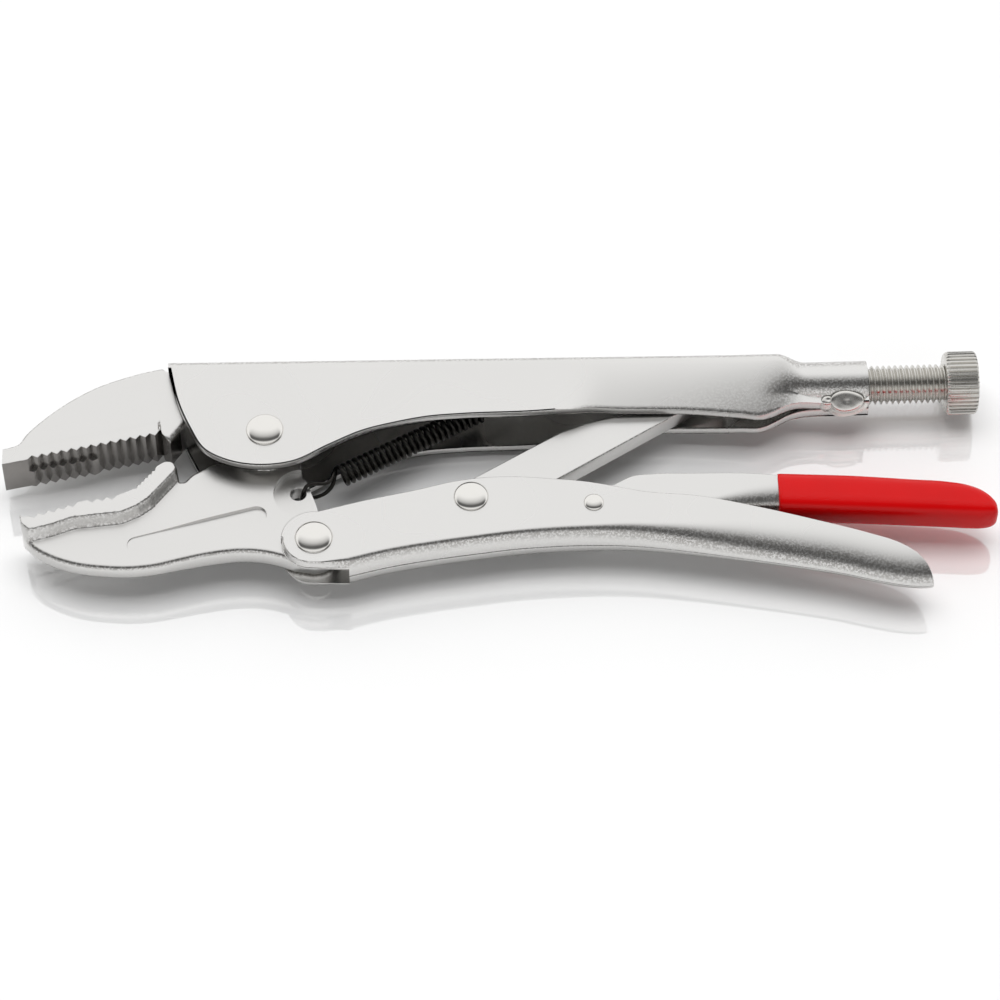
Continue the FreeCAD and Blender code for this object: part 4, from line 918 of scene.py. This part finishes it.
# The coil is start + way * pitch * t + radius * (side cos 2 pi t + Z sin 2 pi t); hooks are smooth lines.
def springLine(own):
    start, end = np.array(own["start"]), np.array(own["end"])
    way = (end - start) / np.linalg.norm(end - start)
    side, up = np.array([-way[1], way[0], 0.0]), np.array([0, 0, 1.0])
    turns = round(np.linalg.norm(end - start) / own["pitch"])
    t = np.linspace(0.0, turns, turns * own["perTurn"] + 1)
    angle = (2 * math.pi * t + 0.5)[:, None]
    coil = start + (end - start) * (t / turns)[:, None] + own["radius"] * (side * np.cos(angle)
                                                                                + up * np.sin(angle))
    front = through(np.concatenate([own["far"], own["near"], coil[:2]]), 110)[:-1]
    return np.concatenate([front, coil[1:-1], through(np.concatenate([coil[-2:], own["rear"]]), 40)[1:]])


springPiece = makePiece("tensionSpring", *wireSurface(springLine(spring), spring["wire"], 10), wireBlack, sharp=60,
                        replaces=["tension_spring"], slot="spring_steel")
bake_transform(springPiece)
print("spring made")


# Adjusting screw: M10 x 1.5 thread as one helical sheet, with a plain thrust tip

screw = {"major": 5.0, "depth": 0.92, "pitch": 1.5, "from": 139.5, "to": 173.8, "steps": 72, "perPitch": 14,
         "tip": [(119.6, 0.0), (119.6, 2.0), (120.1, 2.5), (138.5, 2.5), (139.7, 4.0), (139.7, 0.0)]}


# At u along the axis the radius is the V form of u / pitch, flat at crest and root. The sheet is sheared by one
# pitch a turn, so its rows lie along the thread; past each end it is flattened and drawn in to the axis.
def screwSurface(own):
    pitch, per, steps = own["pitch"], own["perPitch"], own["steps"]
    start, end = own["from"], own["to"]
    rows = int((end - start) / pitch + 5) * per
    angle = wholeTurn(steps)
    u = start - 2.2 * pitch + np.arange(rows)[:, None] * pitch / per + pitch * angle / (2 * math.pi)
    phase = (np.arange(rows) % per / per)[:, None] + 0 * angle
    form = np.clip((0.5 - np.abs(phase - 0.5)) * 2.4 - 0.12, 0, 1)
    radius = own["major"] - own["depth"] * (1 - (ramp(form, 0, 1) * 0.35 + form * 0.65))
    radius = radius * np.clip((u - start) / pitch + 1, 0, 1) * np.clip((end - u) / pitch + 1, 0, 1)
    points = np.stack([np.clip(u, start, end), screwY + radius * np.cos(angle), radius * np.sin(angle)], -1)
    i, j = np.meshgrid(np.arange(rows - per - 1), np.arange(steps), indexing="ij")
    corner = i * steps + j
    following = np.where(j + 1 < steps, corner + 1, (i + per) * steps)
    faces = np.stack([corner, following, following + steps, corner + steps], -1)
    return points.reshape(-1, 3), faces.reshape(-1, 4).tolist()


# Rows of (x, radius) carried round the screw's axis.
def aboutScrew(profile, steps, flute=lambda angle: np.inf):
    x, radius = np.asarray(profile, float).T[..., None]
    angle = wholeTurn(steps)
    radius = np.minimum(radius, flute(angle))
    return ringSurface(x, screwY + radius * np.cos(angle), radius * np.sin(angle))


makePiece("threadedScrew", *joined(screwSurface(screw), aboutScrew(screw["tip"], 48)), screwNickel, sharp=50,
          body="screw", replaces=["adjusting_screw"], slot="screw_steel")


# Knob: straight flutes round a disc with both rims turned off

knob = {"from": 173.6, "width": 8.2, "radius": 8.1, "flutes": 38, "depth": 0.6, "front": 1.5, "rear": 1.0,
        "rimDepth": 0.9, "faceRings": [0.0, 3.0, 6.0]}


# Between flutes the radius is whole; each flute is a cosine valley over half its pitch. The rims are quarter ellipses.
def knobSurface(own):
    radius, width, depth = own["radius"], own["width"], own["rimDepth"]
    turn = np.linspace(0, math.pi / 2, 9)
    front = np.stack([own["front"] * (1 - np.sin(turn)), radius - depth * (1 - np.cos(turn))], 1)[::-1]
    rear = np.stack([width - own["rear"] * (1 - np.sin(turn)), radius - depth * (1 - np.cos(turn))], 1)
    body = np.stack([np.linspace(own["front"], width - own["rear"], 8), np.full(8, radius)], 1)
    profile = np.concatenate([[(0, ring) for ring in own["faceRings"]], front, body[1:-1], rear,
                              [(width, ring) for ring in own["faceRings"][::-1]]])
    profile[:, 0] += own["from"]
    flute = lambda angle: radius - own["depth"] * ramp(-np.cos(own["flutes"] * angle), -0.6, 0.7)
    return aboutScrew(profile, own["flutes"] * 12, flute)


makePiece("flutedKnob", *knobSurface(knob), screwNickel, sharp=50, body="knob", replaces=["knurled_knob"],
          slot="screw_steel")
print("screw and knob made")


# Camera, light and floor

view = {"elevation": 53.3, "distance": 1000.0, "turn": 2.0, "aim": (0.2, -5.8, 10.0), "lens": 143.54,
        "sensor": 36.0, "clipEnd": 20.0}


# The camera stands at the distance from its aim, at the elevation and turned about Z; its right side stays level.
def addCamera(own):
    tilt, turn = math.radians(own["elevation"]), math.radians(own["turn"])
    offset = own["distance"] * np.array([-math.cos(tilt) * math.sin(turn), -math.cos(tilt) * math.cos(turn),
                                              math.sin(tilt)])
    data = bpy.data.cameras.new("camera")
    data.lens, data.sensor_width, data.clip_end = own["lens"], own["sensor"], own["clipEnd"]
    camera = addObject("camera", data)
    aim = Vector(own["aim"]) * 0.001
    place = aim + Vector(offset) * 0.001
    right = Vector((math.cos(turn), -math.sin(turn), 0))
    back = (place - aim).normalized()
    camera.matrix_world = Matrix((*zip(right, back.cross(right), back, place), (0, 0, 0, 1)))
    bpy.context.scene.camera = camera


# An area lamp overhead. It lights matt surfaces only, so bright metal shows the surroundings instead of it.
overheadBox = {"place": (0.0, 0.25, 1.5), "aim": (0, 0, 0), "size": (1.6, 0.9), "power": 14.0}


def addSoftbox(name, own):
    data = bpy.data.lights.new(name, "AREA")
    data.shape, data.energy = "RECTANGLE", own["power"]
    data.size, data.size_y = own["size"]
    lamp = addObject(name, data)
    lamp.location = own["place"]
    lamp.rotation_euler = (Vector(own["aim"]) - lamp.location).to_track_quat("-Z", "Y").to_euler()
    lamp.visible_glossy = False


# Studio surroundings: white all round but for a dark strip at the camera's height. Directions near the camera's are
# shaded by a ramp over how high they lie above it; the share of the ramp grows as they near it.
studio = {"aside": 1.0, "strength": 1.08, "above": (0.0, 0.80, 0.60), "facing": (0.0, -0.60, 0.80),
          "blend": (0.05, 0.40), "ramp": [(-1.0, 0.72), (-0.60, 0.90), (-0.30, 0.80), (-0.12, 0.30), (0.06, 0.10),
                                          (0.36, 0.14), (0.62, 0.62), (0.86, 1.0)]}


def addWorld(own):
    world = bpy.data.worlds.new("studio")
    bpy.context.scene.world = world
    world.use_nodes = True
    tree = world.node_tree
    tree.nodes.clear()
    way = addNode(tree, "ShaderNodeTexCoord", out="Generated")
    above, facing = (addNode(tree, "ShaderNodeVectorMath", {"operation": "DOT_PRODUCT"}, 1, i0=way,
                             i1=own[key]) for key in ("above", "facing"))
    place = addNode(tree, "ShaderNodeMapRange", i0=above, i1=-1.0, i2=1.0)
    shades = addNode(tree, "ShaderNodeValToRGB", Fac=place)
    stops = shades.node.color_ramp.elements
    for index, (height, grey) in enumerate(own["ramp"]):
        stop = stops[index] if index < 2 else stops.new((height + 1) / 2)
        stop.position = (height + 1) / 2
        stop.color = (grey, grey, grey, 1.0)
    share = addNode(tree, "ShaderNodeMapRange", smoothSteps, i0=facing, i1=own["blend"][0],
                    i2=own["blend"][1])
    mixed = addNode(tree, "ShaderNodeMix", colourMix, 2, i0=share, i6=[own["aside"]] * 3 + [1.0], i7=shades)
    light = addNode(tree, "ShaderNodeBackground", Strength=own["strength"], Color=mixed)
    addNode(tree, "ShaderNodeOutputWorld", Surface=light)


board = {"half": 3, "roughness": 0.03, "ior": 2.6, "colour": "#F4F4F4"}


# A square of glossy white board under the tool.
def addFloor(own):
    half = own["half"]
    mesh = bpy.data.meshes.new("floor")
    mesh.from_pydata([(-half, -half, 0), (half, -half, 0), (half, half, 0), (-half, half, 0)], [], [(0, 1, 2, 3)])
    material, tree, shader, place = newMaterial("glossyWhiteBoard", 0.0, own["roughness"], own["colour"])
    setSockets(shader, IOR=own["ior"])
    mesh.materials.append(material)
    addObject("floor", mesh)


addCamera(view)
addSoftbox("overheadBox", overheadBox)
addWorld(studio)
addFloor(board)
bpy.context.scene.view_settings.view_transform = "Standard"
print("camera, light and floor made")

# The jaw weld is seen as its CAD solid; the other CAD nodes are hidden and take their piece's finish.
finishes = {"lever_sleeve": redVinyl, "tension_spring": wireBlack, "adjusting_screw": screwNickel,
            "knurled_knob": screwNickel}
for name, node in nodes.items():
    node.data.materials.clear()
    node.data.materials.append(finishes.get(name, rivetNickel if "rivet" in name else sheetNickel))
